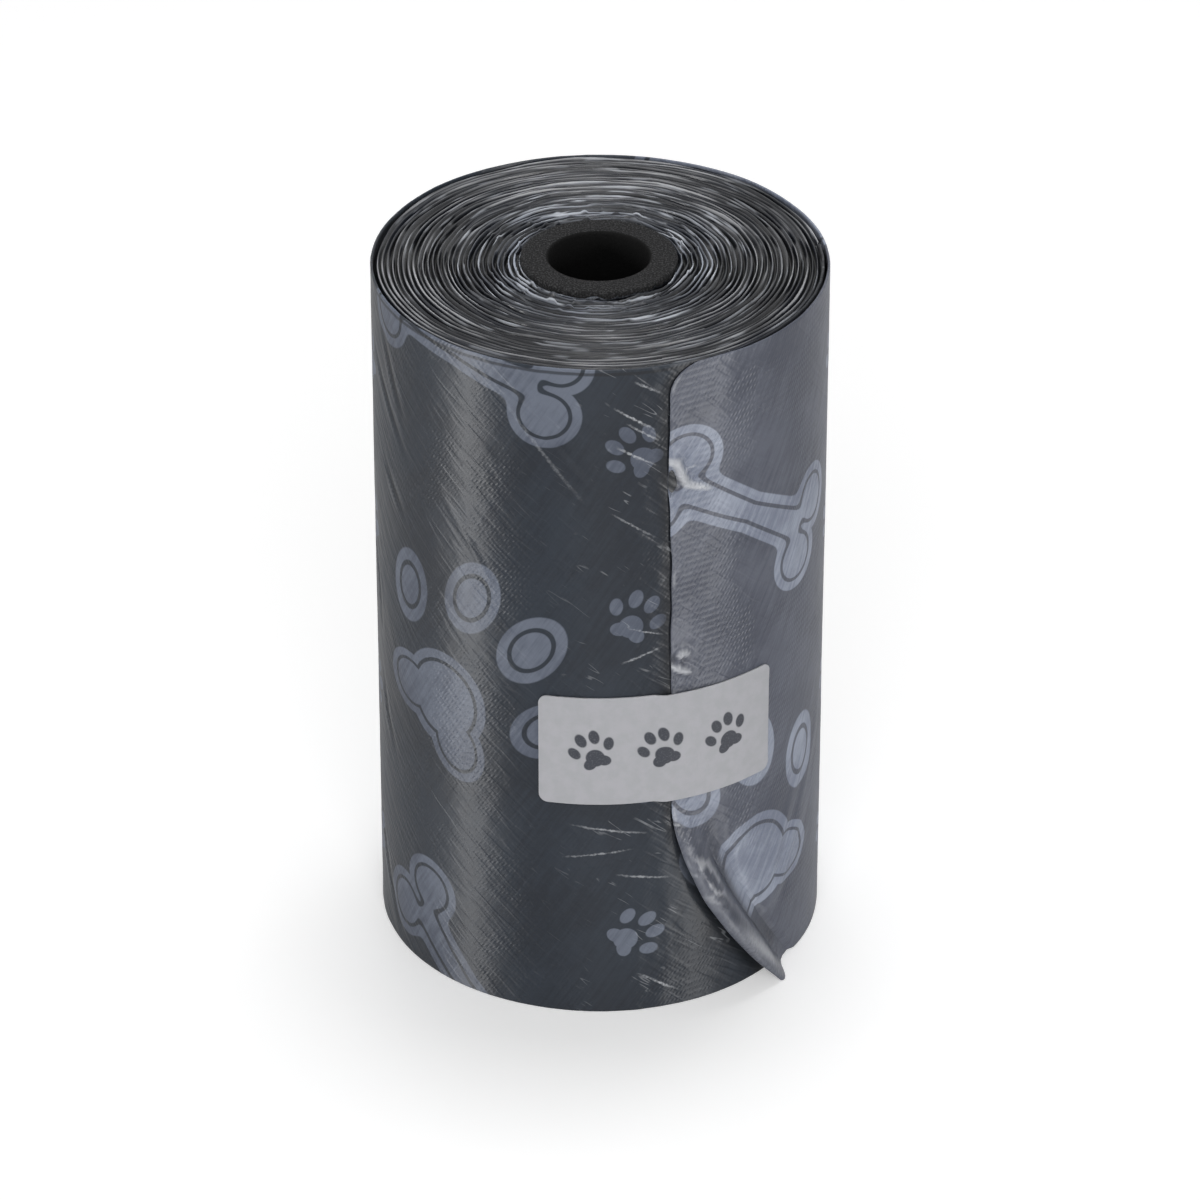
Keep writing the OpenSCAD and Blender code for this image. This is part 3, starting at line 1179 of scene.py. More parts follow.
@dataclass(frozen=True)
class CoreFinish(Finish):
    """Matte charcoal tube with a fine speckle, its bore darkened to near black as painted shade."""

    name = "charcoal_core"
    base: Colour = tone(24, 24, 25)
    grit: Colour = tone(66, 66, 67)
    deep: Colour = tone(3, 3, 3)
    bore: float = CORE_BORE
    relief: float = 0.00012

    def make(self, shelf: GroupShelf) -> bpy.types.Material:
        """Makes the material.

        Args:
            shelf: The shared node groups.

        Returns:
            The material.
        """
        material, wiring, shader = self.begin()
        place = self.solid_place(wiring)
        speckle = shelf.place(wiring, Group.SPECKLE, {"Place": place})
        spots = wiring.rise(speckle.outputs["Fine"], 0.46, 0.66)
        x, y, _ = wiring.split(place)
        from_axis = wiring.vector("LENGTH", wiring.join(x, y))
        # The bore's wall is darkened to near black: painted shade.
        inside = wiring.rise(from_axis, self.bore + 0.25, self.bore + 0.05)
        charcoal = wiring.blend(spots, self.base, self.grit)
        wiring.feed(shader.inputs["Base Color"], wiring.blend(inside, charcoal, self.deep))
        uneven = wiring.math("MULTIPLY_ADD", speckle.outputs["Mottle"], 0.15, 0.72)
        wiring.feed(shader.inputs["Roughness"], uneven)
        shader.inputs["Specular IOR Level"].default_value = 0.1
        self.roughen(wiring, shader, speckle.outputs["Fine"], self.relief, 0.7)
        return material


@dataclass(frozen=True)
class LabelFinish(Finish):
    """Matte pale paper with a plain row of three small paws."""

    name = "label_paper"
    paper: Colour = tone(182, 182, 187)
    shade: Colour = tone(176, 177, 181)
    ink: Colour = tone(58, 61, 70)
    mark: float = 2.1
    mark_step: float = 5.6
    mark_turn: float = -0.35
    relief: float = 0.00002

    def make(self, shelf: GroupShelf) -> bpy.types.Material:
        """Makes the material.

        Args:
            shelf: The shared node groups.

        Returns:
            The material.
        """
        material, wiring, shader = self.begin()
        place = self.map_place(wiring, "Sheet")
        across, up, _ = wiring.split(place)
        speckle = shelf.place(wiring, Group.SPECKLE, {"Place": place})
        step = wiring.math("DIVIDE", across, self.mark_step)
        number = wiring.math("FLOOR", wiring.math("ADD", step, 0.5))
        local = wiring.join(
            wiring.math("MULTIPLY", wiring.math("SUBTRACT", step, number), self.mark_step / self.mark),
            wiring.math("DIVIDE", up, self.mark),
        )
        paw = shelf.place(wiring, Group.PAW, {"Place": wiring.turned(local, self.mark_turn)}).outputs[0]
        inside = wiring.math("LESS_THAN", wiring.math("ABSOLUTE", number), 1.5)
        inked = wiring.math("MULTIPLY", wiring.rise(paw, 0.03, -0.03), inside)
        fibres = wiring.blend(wiring.rise(speckle.outputs["Mottle"], 0.35, 0.65), self.shade, self.paper)
        worn = wiring.math("MULTIPLY", inked, wiring.rise(speckle.outputs["Fine"], 0.2, 0.5, 0.8, 1.0))
        wiring.feed(shader.inputs["Base Color"], wiring.blend(worn, fibres, self.ink))
        uneven = wiring.math("MULTIPLY_ADD", speckle.outputs["Fine"], 0.2, 0.5)
        wiring.feed(shader.inputs["Roughness"], uneven)
        shader.inputs["Specular IOR Level"].default_value = 0.35
        self.roughen(wiring, shader, speckle.outputs["Fine"], self.relief, 0.5)
        return material


# ---------------------------------------------------------------- pieces


class Side(Enum):
    """Which side of the web a column of the mesh lies on."""

    UNDER = "under"
    TAIL = "tail"
    WRAP = "wrap"


@dataclass(frozen=True)
class Column:
    """One column of the web's mesh: a reach on the tail, or a run on the turn behind it."""

    side: Side
    place: float


@dataclass(frozen=True)
class Row:
    """One row of the web's mesh: a height and how far it lies in from the outside."""

    height: float
    inset: float


@dataclass
class OuterWeb:
    """Outermost turn of the web in one sheet, from under its own tail round to the free edge."""

    winding: Winding
    tail: Tail
    rim: float = 0.2
    lip: float = 0.8
    step: float = 0.27
    pucker_step: float = 0.14
    pucker_foot: float = 48.0
    pucker_top: float = 52.2
    last_run: float = 141.0
    creases: list[Crease] = field(default_factory=film_creases)
    puckers: tuple[Pucker, ...] = (
        Pucker(49.5, 0.7, 1.6, 0.6),
        Pucker(33.4, 0.5, 0.7, 0.3),
        Pucker(17.4, 0.8, 1.2, 0.2),
    )

    def columns(self) -> list[Column]:
        """Columns from under the tail, round the free edge and once round the roll.

        Returns:
            The columns in the order of the mesh.
        """
        under = [7.0, 4.6, 3.0, 1.9, 1.2, 0.75, 0.45, 0.26, 0.14, 0.07, 0.03, 0.012]
        tail = [0.0, 0.012, 0.03, 0.055, 0.1, 0.17, 0.26, 0.38, 0.52, 0.68, 0.86, 1.06, 1.28, 1.52, 1.78]
        tail += [2.06] + spread(2.32, 12.0, 0.26) + spread(12.0, self.tail.length, 0.5)
        turn = self.winding.around()
        wrap = spread(self.tail.length, 80.0, 1.1) + spread(80.0, 98.0, 0.3)
        wrap += spread(98.0, turn + 0.6, 0.145) + spread(turn + 0.6, turn + 11.0, 0.5)
        wrap += spread(turn + 11.0, self.last_run, 2.2) + [self.last_run]
        return (
            [Column(Side.UNDER, reach) for reach in under]
            + [Column(Side.TAIL, reach) for reach in tail]
            + [Column(Side.WRAP, run) for run in wrap]
        )

    def rows(self) -> list[Row]:
        """Rows from the inside of the foot's rim, over the outside and down the inside of the top's rim.

        Returns:
            The rows in the order of the mesh.
        """
        top = self.winding.width
        half = self.rim / 2
        low, high = half + 0.02, top - half - 0.02
        foot_rim: list[Row] = []
        top_rim: list[Row] = []
        for angle in (30, 60, 90, 120, 150):
            over, aside = half * math.sin(math.radians(angle)), half * math.cos(math.radians(angle))
            foot_rim.append(Row(half - over, half + aside))
            top_rim.append(Row(top - half + over, half - aside))
        heights = spread(low, self.pucker_foot, self.step)
        heights += spread(self.pucker_foot, self.pucker_top, self.pucker_step)
        heights += spread(self.pucker_top, high, self.step) + [high]
        wall = [Row(height, 0.0) for height in heights]
        foot_lip = [Row(self.lip / 2, self.rim), Row(low, self.rim)]
        top_lip = [Row(high, self.rim), Row(top - self.lip, self.rim)]
        return foot_lip + foot_rim + wall + top_rim + top_lip

    def under_label(self, run: float, height: float) -> float:
        """Share of the small waves that stays at a place: 0 under the label and 1 away from it.

        Args:
            run: Run of the place.
            height: Height of the place.

        Returns:
            The share.
        """
        middle = -0.4
        beside = min(abs(run - middle), abs(run - (self.winding.around() + middle)))
        away = max(self.tail.label_foot - height, height - self.tail.label_top, beside - 10.0)
        return ease(away, 0.0, 1.6)

    def waves(self, run: float, height: float) -> tuple[float, float]:
        """Small waves, creases and crumples of the film.

        Args:
            run: Run of the place.
            height: Height of the place.

        Returns:
            The lift in mm, and the lift of the creases and crumple tops that sets painted highlight above 0
            and painted shade below 0.
        """
        slow = 0.05 * wander(run / 11, height / 26, 1.3) + 0.018 * wander(run / 3.4, height / 9, 2.6)
        slanted = 0.012 * wander((run - 0.5 * height) / 1.1, (run * 0.5 + height) / 7, 5.5)
        near_edge = bump((run - self.winding.around() + 1.0) / 7.0)
        crumple = 0.042 * near_edge * wander(run / 1.1, height / 1.5, 7.7)
        left = bump((run - 85.0) / 6.0)
        ribs = 0.03 * left * wander((run + 0.45 * height) / 1.0, height / 12, 9.1)
        with_painted_shade = painted_shading = 0.0
        for crease in self.creases:
            if crease.reaches(run, height):
                lift = crease.lift(run, height)
                with_painted_shade += lift
                painted_shading += lift * crease.painted_shading
        flat = self.under_label(run, height)
        lifted = slow + slanted + crumple + ribs + with_painted_shade
        # Crumple tops add painted glints.
        return lifted * flat, (painted_shading + 0.33 * max(0.0, crumple)) * flat

    def beside_edge(self, run: float, height: float) -> float:
        """How much painted shade the wrap gets beside the free edge that lies over it.

        Args:
            run: Run of the place on the wrap.
            height: Height of the place.

        Returns:
            The painted shade from 0 to 1.
        """
        away = self.winding.around() + self.tail.edge(height) - run
        # Painted shade along the free edge, and a streaky painted shadow below the rolled corner.
        near = 0.9 * ease(away, 1.25, 0.1)
        streaks = ease(wander(run / 0.5, (height + 0.3 * run) / 5, 21.0), -0.2, 0.3)
        turned = bump((height - 7.0) / 6.5)
        return max(near, 0.6 * turned * streaks * ease(away, 4.2, 0.8))

    def corner_crumples_and_light(self, reach: float, height: float) -> tuple[float, float, float]:
        """Crumples of the rolled corner, with its painted highlights and painted shade.

        Args:
            reach: Distance from the free edge.
            height: Height of the place.

        Returns:
            The lift in mm, the painted highlight (with some whitening of the film) and the painted shade.
        """
        tail = self.tail
        rough = wander(reach / 0.8, height / 0.75, 14.0) + 0.5 * wander(reach / 0.4, height / 1.1, 15.0)
        patch = bump((height - 12.6) / 4.2) * bump((reach - 1.1) / 1.5)
        ridge = bump((reach - 1.25) / 0.8) * bump((height - 4.0) / 4.4)
        valley = tail.rolled(height) * bump((reach - tail.roll_half - 1.7) / 1.0) * ease(height, 1.0, 4.0)
        flank = tail.rolled(height) * bump((reach - 0.45) / 0.5) * (0.6 + 0.8 * wander(height / 1.6, 0, 17.0))
        flank = max(flank, 1.6 * bump((reach - 0.2) / 0.22) * ease(wander(height / 2.2, 0, 18.0), 0.05, 0.35))
        fold = tail.rolled(height) * bump((reach - 1.35) / 0.55) * ease(height, 5.0, 8.0)
        # Pale crumple patch: partly whitening of the film, partly painted highlight. Ridge and flank: painted
        # highlight. Valley and fold: painted shade.
        pale = 0.95 * patch * ease(rough, 0.02, 0.3) + 0.8 * ridge + 0.3 * max(0.0, flank)
        return 0.14 * patch * rough, min(1.0, pale), min(1.0, 0.75 * valley + 0.4 * fold)

    def rim_waver(self, run: float, height: float) -> float:
        """How far the cut edges of the web wander up and down.

        Args:
            run: Run of the place.
            height: Height of the place.

        Returns:
            The way in mm, above 0 upwards.
        """
        top = self.winding.width
        near_top = ease(height, top - 3.0, top)
        return near_top * (0.06 * wander(run / 7, 0, 11.0) + 0.025 * wander(run / 1.3, 0, 12.0) - 0.04)

    def column_point(self, column: Column, row: Row) -> tuple[Spot, float, Point]:
        """Point of the mesh.

        Args:
            column: Its column.
            row: Its row.

        Returns:
            The point in metres, its run, and how much painted highlight and painted shade it gets.
        """
        height = row.height
        tail = self.tail
        if column.side is Side.WRAP:
            run = column.place
            sweep = self.winding.sweep(run)
            hidden = ease(run, 120.0, 128.0) * 0.06
            waved, painted_shading = self.waves(run, height)
            radius = self.winding.surface(sweep) + waved - row.inset - hidden
            # Painted shade beside the free edge.
            pale, dark = 0.0, self.beside_edge(run, height) if run > 100.0 else 0.0
        else:
            start = tail.edge(height)
            reach = column.place * (tail.length - start) / tail.length
            run = start + reach
            sweep = self.winding.sweep(run)
            lying = self.winding.surface(sweep + 360.0)
            share = tail.rounding(reach, height)
            under = tail.gap(reach, height)
            over = tail.top(reach, height)
            middle = (under + over) / 2
            near = ease(reach, 0.0, 0.6)
            loose = sum(pucker.lift(reach, height) for pucker in self.puckers) * tail.pressed(height)
            waved, painted_shading = self.waves(run, height)
            painted_shading += 0.2 * loose
            crumpled, pale, dark = self.corner_crumples_and_light(reach, height)
            # Painted shade in the puckers' hollows.
            dark = max([dark] + [pucker.shade(reach, height) for pucker in self.puckers])
            lift = (waved + crumpled) * near + loose * ease(reach, -0.4, 0.5)
            half = share * (over - under) / 2
            if column.side is Side.TAIL:
                radius = lying + middle + half + lift - row.inset * min(1.0, 0.2 + reach)
            else:
                radius = lying + middle - half + lift * 0.5 - row.inset * 0.15
        point = self.winding.place(sweep, radius, height + self.rim_waver(run, height))
        # Painted highlight and painted shade from creases, crumples, puckers, the rolled corner and the free
        # edge.
        painted_light = (max(pale, ease(painted_shading, 0.015, 0.1)), max(dark, ease(painted_shading, -0.03, -0.14)))
        return point, run, painted_light

    def build(self, material: bpy.types.Material) -> bpy.types.Object:
        """Builds the sheet.

        Args:
            material: Finish of the film.

        Returns:
            The piece.
        """
        patch = Patch()
        columns, rows = self.columns(), self.rows()
        previous: list[int] = []
        for index, column in enumerate(columns):
            line: list[int] = []
            for number, row in enumerate(rows):
                point, run, painted_light = self.column_point(column, row)
                unrolled = -1.0 - column.place if column.side is Side.UNDER else run
                bake = ((unrolled + BAKE_LEAD) / BAKE_RUN, (number + 0.5) / len(rows))
                web = (run * METRE, row.height * METRE)
                line.append(patch.add(point, Web=web, Marks=painted_light, OFBake=bake))
            if index:
                patch.strip(previous, line)
            previous = line
        return patch.piece("outer_web", material, "film", "bag_roll")


class End(Enum):
    """End of the roll."""

    TOP = "turn_edges_top"
    FOOT = "turn_edges_foot"


@dataclass
class TurnEdges:
    """Edges of all the turns at one end of the roll, one crested ridge for each layer."""

    winding: Winding
    end: End
    steps: int = 420
    depth: float = 0.75
    crumple: float = 1.0
    skirt: float = 0.85
    highest: float = 0.22
    foot_level: float = 0.04
    own_turn_end: float = 83.0
    own_turn_drop: float = 0.45
    own_turn_inset: float = 0.22
    profile: tuple[Point, ...] = ((0.0, 0.0), (0.28, 0.55), (0.4, 1.0), (0.54, 0.96), (0.68, 0.45))

    def openness(self, turn: float, angle: float) -> float:
        """How wide the gap outside a turn stands open, from 0 to 1.

        Args:
            turn: Turns from the free edge.
            angle: Angle round the roll in radians.

        Returns:
            The share.
        """
        around = Vector((math.cos(angle) * 1.2, math.sin(angle) * 1.2, turn * 0.7))
        closer = Vector((math.cos(angle) * 2.6, math.sin(angle) * 2.6, turn * 2.1 + 60))
        return ease(noise.noise(around) + 0.8 * noise.noise(closer), -0.34, 0.2)

    def crest(self, turn: float, angle: float, share: float) -> float:
        """Height of the film's edge against the end of the roll.

        Args:
            turn: Turns from the free edge.
            angle: Angle round the roll in radians.
            share: Share of the full rise at this place of the profile.

        Returns:
            The height in mm, mostly below 0.
        """
        around = math.cos(angle) * 6, math.sin(angle) * 6
        slow = 0.16 * noise.noise(Vector((around[0] * 0.5, around[1] * 0.5, turn * 0.45)))
        layer = 0.13 * noise.noise(Vector((around[0] * 0.35, around[1] * 0.35, turn * 3.7)))
        fine = 0.02 * noise.noise(Vector((around[0] * 3, around[1] * 3, turn * 2.9)))
        inward = ease(turn, 8.0, self.winding.turns)
        rough = noise.noise(Vector((around[0] * 1.5, around[1] * 1.5, turn * 0.9 + 40)))
        crushed = self.crumple * (0.03 + 0.26 * inward**3) * ease(rough, 0.25, 0.75)
        return share * (slow + layer + fine + crushed) - 0.16

    def drift(self, turn: float, angle: float) -> float:
        """How far a layer wanders in or out from its place in the spiral.

        Args:
            turn: Turns from the free edge.
            angle: Angle round the roll in radians.

        Returns:
            The way in mm, above 0 outwards.
        """
        around = math.cos(angle) * 4, math.sin(angle) * 4
        inward = 0.6 + 0.8 * ease(turn, 10.0, self.winding.turns)
        return inward * (
            0.16 * noise.noise(Vector((around[0] * 0.6, around[1] * 0.6, turn * 0.35 + 7)))
            + 0.035 * noise.noise(Vector((around[0] * 1.4, around[1] * 1.4, turn * 1.7 + 3)))
        )

    def under_tail(self, sweep: float) -> bool:
        """Whether the first layer here is the web's own turn under the tail."""
        return sweep < self.own_turn_end

    def vertex(self, ring: int, step: int) -> tuple[Spot, Point]:
        """Point of the mesh with its turn and rise.

        Args:
            ring: Number of the ring from the outside.
            step: Step round the roll.

        Returns:
            The point in metres, and its turn and rise on the turn map.
        """
        count = len(self.profile)
        layer, part = divmod(ring, count)
        place, share = self.profile[part]
        sweep = 360.0 * step / self.steps
        angle = math.radians(sweep)
        turn = 1.0 + layer + place + sweep / 360.0
        radius = self.winding.surface(sweep + 360.0 * (1 + layer)) - place * self.winding.pitch
        inside = ease(turn, 1.2, 3.0) * ease(turn, self.winding.turns + 0.9, self.winding.turns - 0.6)
        radius += self.drift(turn, angle) * inside
        open_share = self.openness(turn, angle)
        rise = share if part else 0.5 * (1 - open_share)
        if part == count - 1:
            rise += 0.5 * self.openness(turn * 1.7 + 50, angle * 1.6)
        drop = self.depth * (1 - rise)
        if self.under_tail(sweep) and layer == 0:
            drop += self.own_turn_drop
            radius = min(radius, self.winding.surface(sweep + 360.0) - self.own_turn_inset)
        height = self.crest(turn, angle, 0.35 + 0.65 * rise) - drop
        radius = max(radius, self.winding.seat_radius + 0.01)
        if turn > self.winding.turns + 0.85:
            height, rise = -self.depth, 0.0
        if self.end is End.TOP:
            level = self.winding.width + min(height, self.highest)
        else:
            level = max(0.0, self.foot_level - height * 0.5)
        point = self.winding.place(sweep, radius, level)
        return point, (turn / TURN_MAP_SPAN, max(0.0, min(1.0, rise + 0.25 * height)))

    def build(self, material: bpy.types.Material) -> bpy.types.Object:
        """Builds the edges of the turns.

        Args:
            material: Finish of the cut edges.

        Returns:
            The piece.
        """
        patch = Patch()
        count = len(self.profile)
        rings = count * self.winding.turns
        lines: list[list[int]] = []
        for step in range(self.steps):
            line: list[int] = []
            sweep = 360.0 * step / self.steps
            outside = self.winding.surface(sweep + 360.0) + (-0.2 if self.under_tail(sweep) else 0.24)
            low = self.winding.width - self.skirt if self.end is End.TOP else self.skirt
            outer = self.winding.place(sweep, outside, low)
            line.append(self.put(patch, outer, (1 / TURN_MAP_SPAN, 0.0)))
            for ring in range(rings + 1):
                point, place = self.vertex(ring, step)
                line.append(self.put(patch, point, place))
            lines.append(line)
        for step in range(self.steps - 1):
            self.join_lines(patch, lines[step], lines[step + 1])
        last, first = lines[-1], lines[0]
        self.join_lines(patch, last[1 : rings + 2 - count], first[1 + count :])
        return patch.piece(self.end.value, material, "film", "bag_roll")

    @staticmethod
    def put(patch: Patch, point: Spot, place: Point) -> int:
        """Adds one vertex with its place on the turn map and on a plan of the end."""
        plan = (point[0] / PLAN_SPAN + 0.5, point[1] / PLAN_SPAN + 0.5)
        return patch.add(point, Turn=place, OFBake=plan)

    def join_lines(self, patch: Patch, near: Sequence[int], following: Sequence[int]) -> None:
        """Joins two lines of vertices so that the faces look away from the roll.

        Args:
            patch: Mesh that the faces go into.
            near: Numbers of the first line.
            following: Numbers of the next line round the roll.
        """
        if self.end is End.TOP:
            patch.strip(near, following)
        else:
            patch.strip(following, near)


@dataclass
class CoreSleeve:
    """Plain core tube with softly broken rims."""

    outer: float = 6.25
    inner: float = CORE_BORE
    top: float = 60.3
    soft: float = 0.22
    segments: int = 160

    def profile(self) -> list[Point]:
        """Closed profile by radius and height, from the top of the bore outwards.

        Returns:
            The points of the profile, once round.
        """
        corners = (
            (self.inner + self.soft, self.top - self.soft, 180, 90),
            (self.outer - self.soft, self.top - self.soft, 90, 0),
            (self.outer - self.soft, self.soft, 0, -90),
            (self.inner + self.soft, self.soft, -90, -180),
        )
        points: list[Point] = []
        for radius, height, start, end in corners:
            for part in range(5):
                turned = math.radians(start + (end - start) * part / 4)
                points.append((radius + self.soft * math.cos(turned), height + self.soft * math.sin(turned)))
        return points

    def build(self, material: bpy.types.Material) -> bpy.types.Object:
        """Builds the tube.

        Args:
            material: Finish of the tube.

        Returns:
            The piece.
        """
        patch = Patch()
        profile = self.profile()
        loop = profile + profile[:1]
        lengths = [0.0]
        for near, following in zip(loop, loop[1:]):
            lengths.append(lengths[-1] + math.dist(near, following))
        rings: list[list[int]] = []
        for segment in range(self.segments + 1):
            turned = math.tau * segment / self.segments
            waver = 0.012 * wander(math.cos(turned) * 2, math.sin(turned) * 2, 31.0)
            ring: list[int] = []
            for (radius, height), length in zip(loop, lengths):
                spot = (
                    (radius + waver) * math.cos(turned) * METRE,
                    (radius + waver) * math.sin(turned) * METRE,
                    height * METRE,
                )
                bake = (BAKE_SHARE * segment / self.segments, BAKE_SHARE * length / lengths[-1])
                ring.append(patch.add(spot, OFBake=bake))
            rings.append(ring)
        for near, following in zip(rings, rings[1:]):
            patch.strip(near, following)
        piece = patch.piece("core_sleeve", material, "core", "core_tube")
        weld(piece)
        return piece


@dataclass
class SealLabel:
    """Thin paper label that holds the free edge down, with round corners and a slight curl."""

    winding: Winding
    length: float = 20.0
    height: float = LABEL_HEIGHT
    foot: float = LABEL_FOOT
    lead: float = 10.4
    thickness: float = 0.12
    corner: float = 0.75
    clearance: float = 0.03
    bridge: float = 4.0
    columns: int = 84
    rows: int = 46

    def under(self, sweep: float) -> float:
        """Distance from the axis to the web under the label.

        Args:
            sweep: Angle from the free edge in degrees, below 0 to its left.

        Returns:
            The distance in mm.
        """
        left = self.winding.surface(360.0 + sweep) if sweep < 0 else self.winding.surface(360.0)
        right = self.winding.surface(max(0.0, sweep)) - 0.04
        return left + (right - left) * ease(sweep, -self.bridge, 0.0)

    def half_length(self, rise: float) -> float:
        """Half the length of the label at a height from its middle, which shrinks in the round corners."""
        into = max(0.0, abs(rise) - (self.height / 2 - self.corner))
        return self.length / 2 - (self.corner - math.sqrt(max(0.0, self.corner**2 - into**2)))

    def row_rises(self) -> list[float]:
        """Heights of the rows from the middle, closer together in the corners.

        Returns:
            The heights in mm, from the lowest up.
        """
        half = self.height / 2
        straight = half - self.corner
        inner = [-straight + 2 * straight * index / self.rows for index in range(self.rows + 1)]
        ends = [straight + self.corner * math.sin(math.radians(90 * index / 7)) for index in range(1, 8)]
        return [-rise for rise in reversed(ends)] + inner + ends

    def lift(self, along: float, rise: float) -> float:
        """How far the label stands off the film: a touch at its edges and more at two corners.

        Args:
            along: Distance from the label's middle, to the right.
            rise: Distance from the label's middle, upwards.

        Returns:
            The lift in mm.
        """
        side = ease(abs(along), self.length / 2 - 2.5, self.length / 2)
        end = ease(abs(rise), self.height / 2 - 2.0, self.height / 2)
        right_foot = 0.05 * side * end if along > 0 else 0.02 * side * end
        wave = 0.012 * wander(along / 2.5, rise / 2.5, 41.0)
        return right_foot + 0.015 * max(side, end) + wave + 0.012

    def build(self, material: bpy.types.Material) -> bpy.types.Object:
        """Builds the label.

        Args:
            material: Finish of the paper.

        Returns:
            The piece.
        """
        patch = Patch()
        sheets: list[list[list[int]]] = []
        middle = self.length / 2 - self.lead
        for level in (self.thickness, 0.0):
            lines: list[list[int]] = []
            for rise in self.row_rises():
                half = self.half_length(rise)
                line: list[int] = []
                for index in range(self.columns + 1):
                    share = 2 * index / self.columns - 1
                    along = half * (1.5 * share - 0.5 * share**3)
                    sweep = self.winding.sweep(middle + along)
                    radius = self.under(sweep) + self.clearance + level + self.lift(along, rise)
                    point = self.winding.place(sweep, radius, self.foot + self.height / 2 + rise)
                    shift = 0.02 if level else 0.52
                    bake = (
                        0.02 + 0.96 * (along / self.length + 0.5),
                        shift + 0.46 * (rise / self.height + 0.5),
                    )
                    line.append(patch.add(point, Sheet=(along * METRE, rise * METRE), OFBake=bake))
                lines.append(line)
            sheets.append(lines)
        outside, inside = sheets
        for near, following in zip(outside, outside[1:]):
            patch.strip(following, near)
        for near, following in zip(inside, inside[1:]):
            patch.strip(near, following)
        patch.strip(outside[0], inside[0])
        patch.strip(inside[-1], outside[-1])
        patch.strip([line[0] for line in inside], [line[0] for line in outside])
        patch.strip([line[-1] for line in outside], [line[-1] for line in inside])
        return patch.piece("paper_label", material, "label", "seal_label")


def weld(piece: bpy.types.Object) -> None:
    """Joins the vertices of a piece that lie on each other, such as those at a seam.

    Args:
        piece: The piece.
    """
    work = bmesh.new()
    work.from_mesh(piece.data)
    bmesh.ops.remove_doubles(work, verts=work.verts, dist=1e-6)
    work.to_mesh(piece.data)
    work.free()


# ---------------------------------------------------------------- studio


@dataclass(frozen=True)
class SoftLight:
    """A soft light that looks at a point of the roll, with its width and its height."""

    name: str
    azimuth: float
    elevation: float
    distance: float
    size: tuple[float, float]
    power: float
    gloss_only: bool = False
    target: Spot = (0.0, 0.0, 0.03)

    def build(self) -> None:
        """Puts the light in the scene."""
        turned, raised = math.radians(self.azimuth), math.radians(self.elevation)
        away = Vector(
            (math.sin(turned) * math.cos(raised), -math.cos(turned) * math.cos(raised), math.sin(raised))
        )
        lamp = bpy.data.lights.new(self.name, "AREA")
        lamp.shape = "RECTANGLE"
        lamp.size, lamp.size_y = self.size
        lamp.energy = self.power
        made = bpy.data.objects.new(self.name, lamp)
        made.location = Vector(self.target) + away * self.distance
        made.rotation_euler = away.to_track_quat("Z", "Y").to_euler()
        made.visible_diffuse = not self.gloss_only
        bpy.context.scene.collection.objects.link(made)


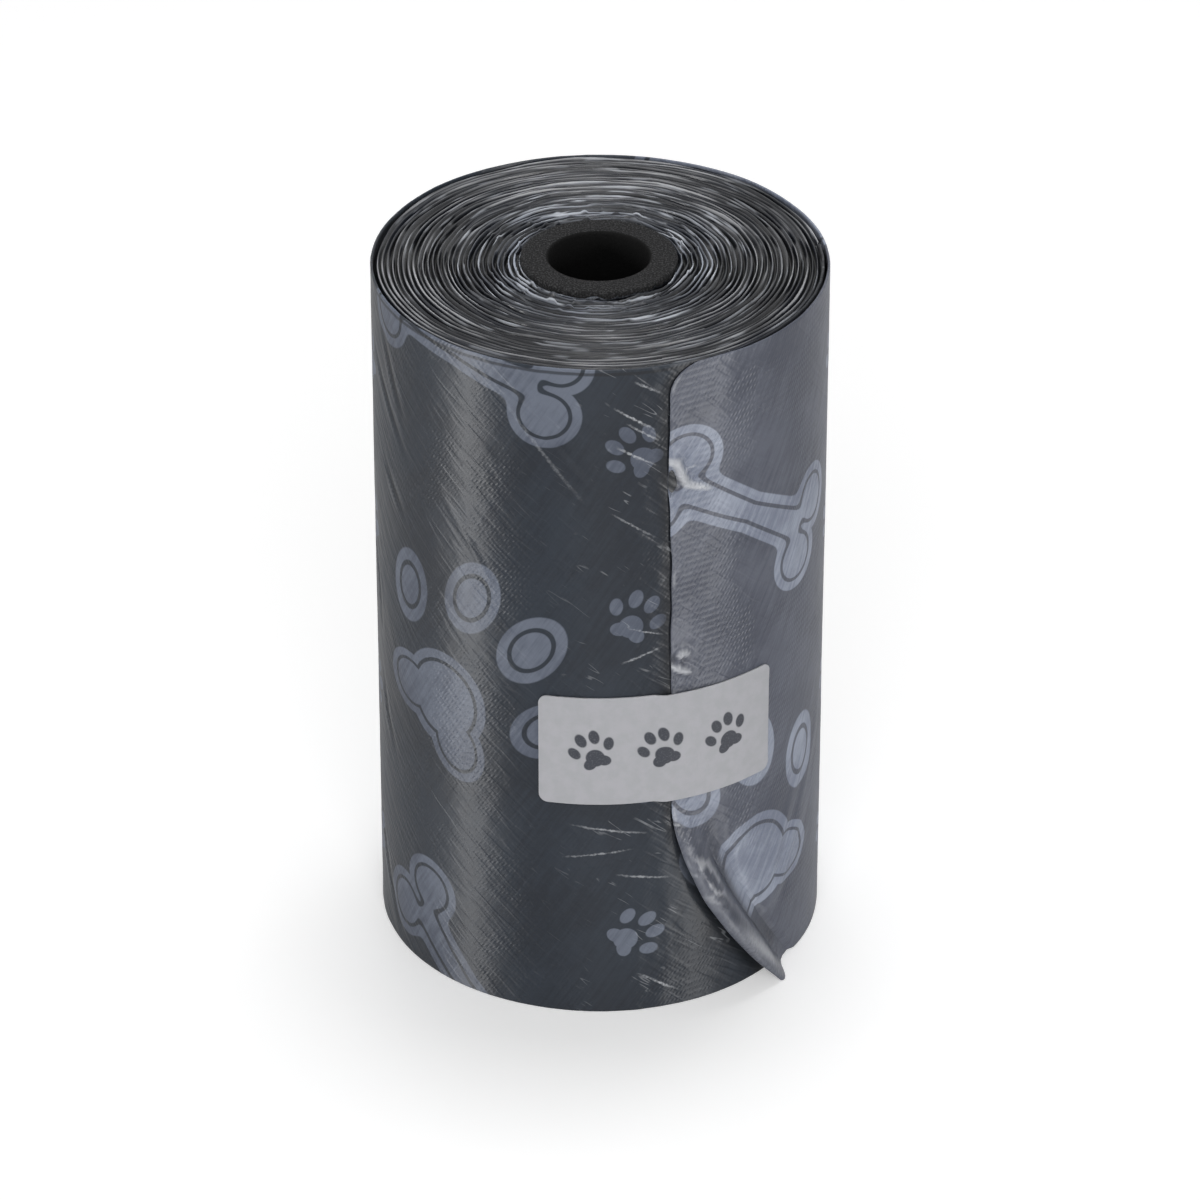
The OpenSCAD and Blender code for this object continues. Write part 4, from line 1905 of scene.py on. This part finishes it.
@dataclass
class Studio:
    """Pale floor, soft lights, white background and the camera of the photograph."""

    lens: float = 189.4
    camera_place: Spot = (0.00008, -0.441176, 0.296349)
    camera_pitch: float = 58.729
    floor_size: float = 6.0
    floor_level: float = -0.00002
    ambient: float = 0.32
    glow_share: float = 0.16
    glow_power: float = 2.15
    lights: tuple[SoftLight, ...] = (
        SoftLight("left_strip", -64.0, 12.0, 0.5, (0.09, 0.18), 3.2, gloss_only=True),
        SoftLight("right_strip", 46.0, 12.0, 0.5, (0.07, 0.18), 2.4, gloss_only=True),
        SoftLight("front_fill", 0.0, 38.0, 1.0, (0.5, 0.5), 3.6),
        SoftLight("top_light", 168.0, 79.0, 0.8, (0.24, 0.24), 2.5),
    )

    @staticmethod
    def seen(wiring: Wiring) -> Socket:
        """Share of the rays that show the plain white background: those of the camera, gloss and glass.

        Args:
            wiring: Wiring of the world or of the floor.

        Returns:
            1 for those rays and 0 for all others.
        """
        path = wiring.add("ShaderNodeLightPath")
        first = wiring.math("MAXIMUM", path.outputs["Is Camera Ray"], path.outputs["Is Glossy Ray"])
        return wiring.math("MAXIMUM", first, path.outputs["Is Transmission Ray"])

    def make_world(self) -> None:
        """Makes the world: pale ambient light behind a white background."""
        world = bpy.data.worlds.new("studio_world")
        world.use_nodes = True
        wiring = Wiring(world.node_tree)
        plain = world.node_tree.nodes["Background"]
        plain.inputs["Color"].default_value = (1.0, 1.0, 1.0, 1.0)
        plain.inputs["Strength"].default_value = self.ambient
        white = wiring.add("ShaderNodeBackground", {"Color": (1.0, 1.0, 1.0, 1.0), "Strength": 1.0})
        feeds = {0: self.seen(wiring), 1: plain.outputs[0], 2: white.outputs[0]}
        mixed = wiring.add("ShaderNodeMixShader", feeds)
        wiring.feed(world.node_tree.nodes["World Output"].inputs["Surface"], mixed.outputs[0])
        bpy.context.scene.world = world

    def make_floor(self) -> None:
        """Makes the pale floor, which keeps the roll's shadow."""
        half = self.floor_size / 2
        corners = ((-half, -half), (half, -half), (half, half), (-half, half))
        mesh = bpy.data.meshes.new("floor")
        mesh.from_pydata([(x, y, self.floor_level) for x, y in corners], [], [(0, 1, 2, 3)])
        material = bpy.data.materials.new("pale_floor")
        material.use_nodes = True
        wiring = Wiring(material.node_tree)
        shader = material.node_tree.nodes["Principled BSDF"]
        shader.inputs["Base Color"].default_value = (0.95, 0.95, 0.95, 1.0)
        shader.inputs["Roughness"].default_value = 0.9
        shader.inputs["Specular IOR Level"].default_value = 0.1
        glow = wiring.add("ShaderNodeEmission", {"Color": (1.0, 1.0, 1.0, 1.0), "Strength": self.glow_power})
        share = wiring.math("MULTIPLY", self.seen(wiring), self.glow_share)
        mixed = wiring.add("ShaderNodeMixShader", {0: share, 1: shader.outputs[0], 2: glow.outputs[0]})
        wiring.feed(material.node_tree.nodes["Material Output"].inputs["Surface"], mixed.outputs[0])
        mesh.materials.append(material)
        floor = bpy.data.objects.new("floor", mesh)
        bpy.context.scene.collection.objects.link(floor)

    def make_camera(self) -> None:
        """Makes the camera at the photograph's view."""
        camera = bpy.data.cameras.new("camera")
        camera.lens = self.lens
        camera.sensor_width = 36.0
        made = bpy.data.objects.new("camera", camera)
        made.location = self.camera_place
        made.rotation_euler = (math.radians(self.camera_pitch), 0.0, 0.0)
        bpy.context.scene.collection.objects.link(made)
        bpy.context.scene.camera = made

    def build(self) -> None:
        """Sets the whole studio up."""
        bpy.context.scene.view_settings.view_transform = "Standard"
        self.make_world()
        self.make_floor()
        self.make_camera()
        for light in self.lights:
            light.build()


# ---------------------------------------------------------------- the whole roll


@dataclass
class BagRoll:
    """The roll with its web, the edges of its turns, its core tube and its label."""

    shelf: GroupShelf = field(default_factory=GroupShelf)
    winding: Winding = field(default_factory=Winding)

    def build(self) -> list[bpy.types.Object]:
        """Builds and dresses every piece.

        Returns:
            The pieces.
        """
        film = FilmFinish().make(self.shelf)
        edges = EdgeFinish().make(self.shelf)
        return [
            OuterWeb(self.winding, Tail(self.winding)).build(film),
            TurnEdges(self.winding, End.TOP).build(edges),
            TurnEdges(self.winding, End.FOOT, steps=240, depth=0.4, crumple=0.4, skirt=0.45).build(edges),
            CoreSleeve().build(CoreFinish().make(self.shelf)),
            SealLabel(self.winding).build(LabelFinish().make(self.shelf)),
        ]


def main() -> None:
    """Builds the studio and the roll, and reports each piece."""
    logging.basicConfig(level=logging.INFO, format="%(name)s: %(message)s")
    Studio().build()
    for piece in BagRoll().build():
        LOG.info("%s rides on %s", piece.name, BODY)


if __name__ == "__main__":
    main()
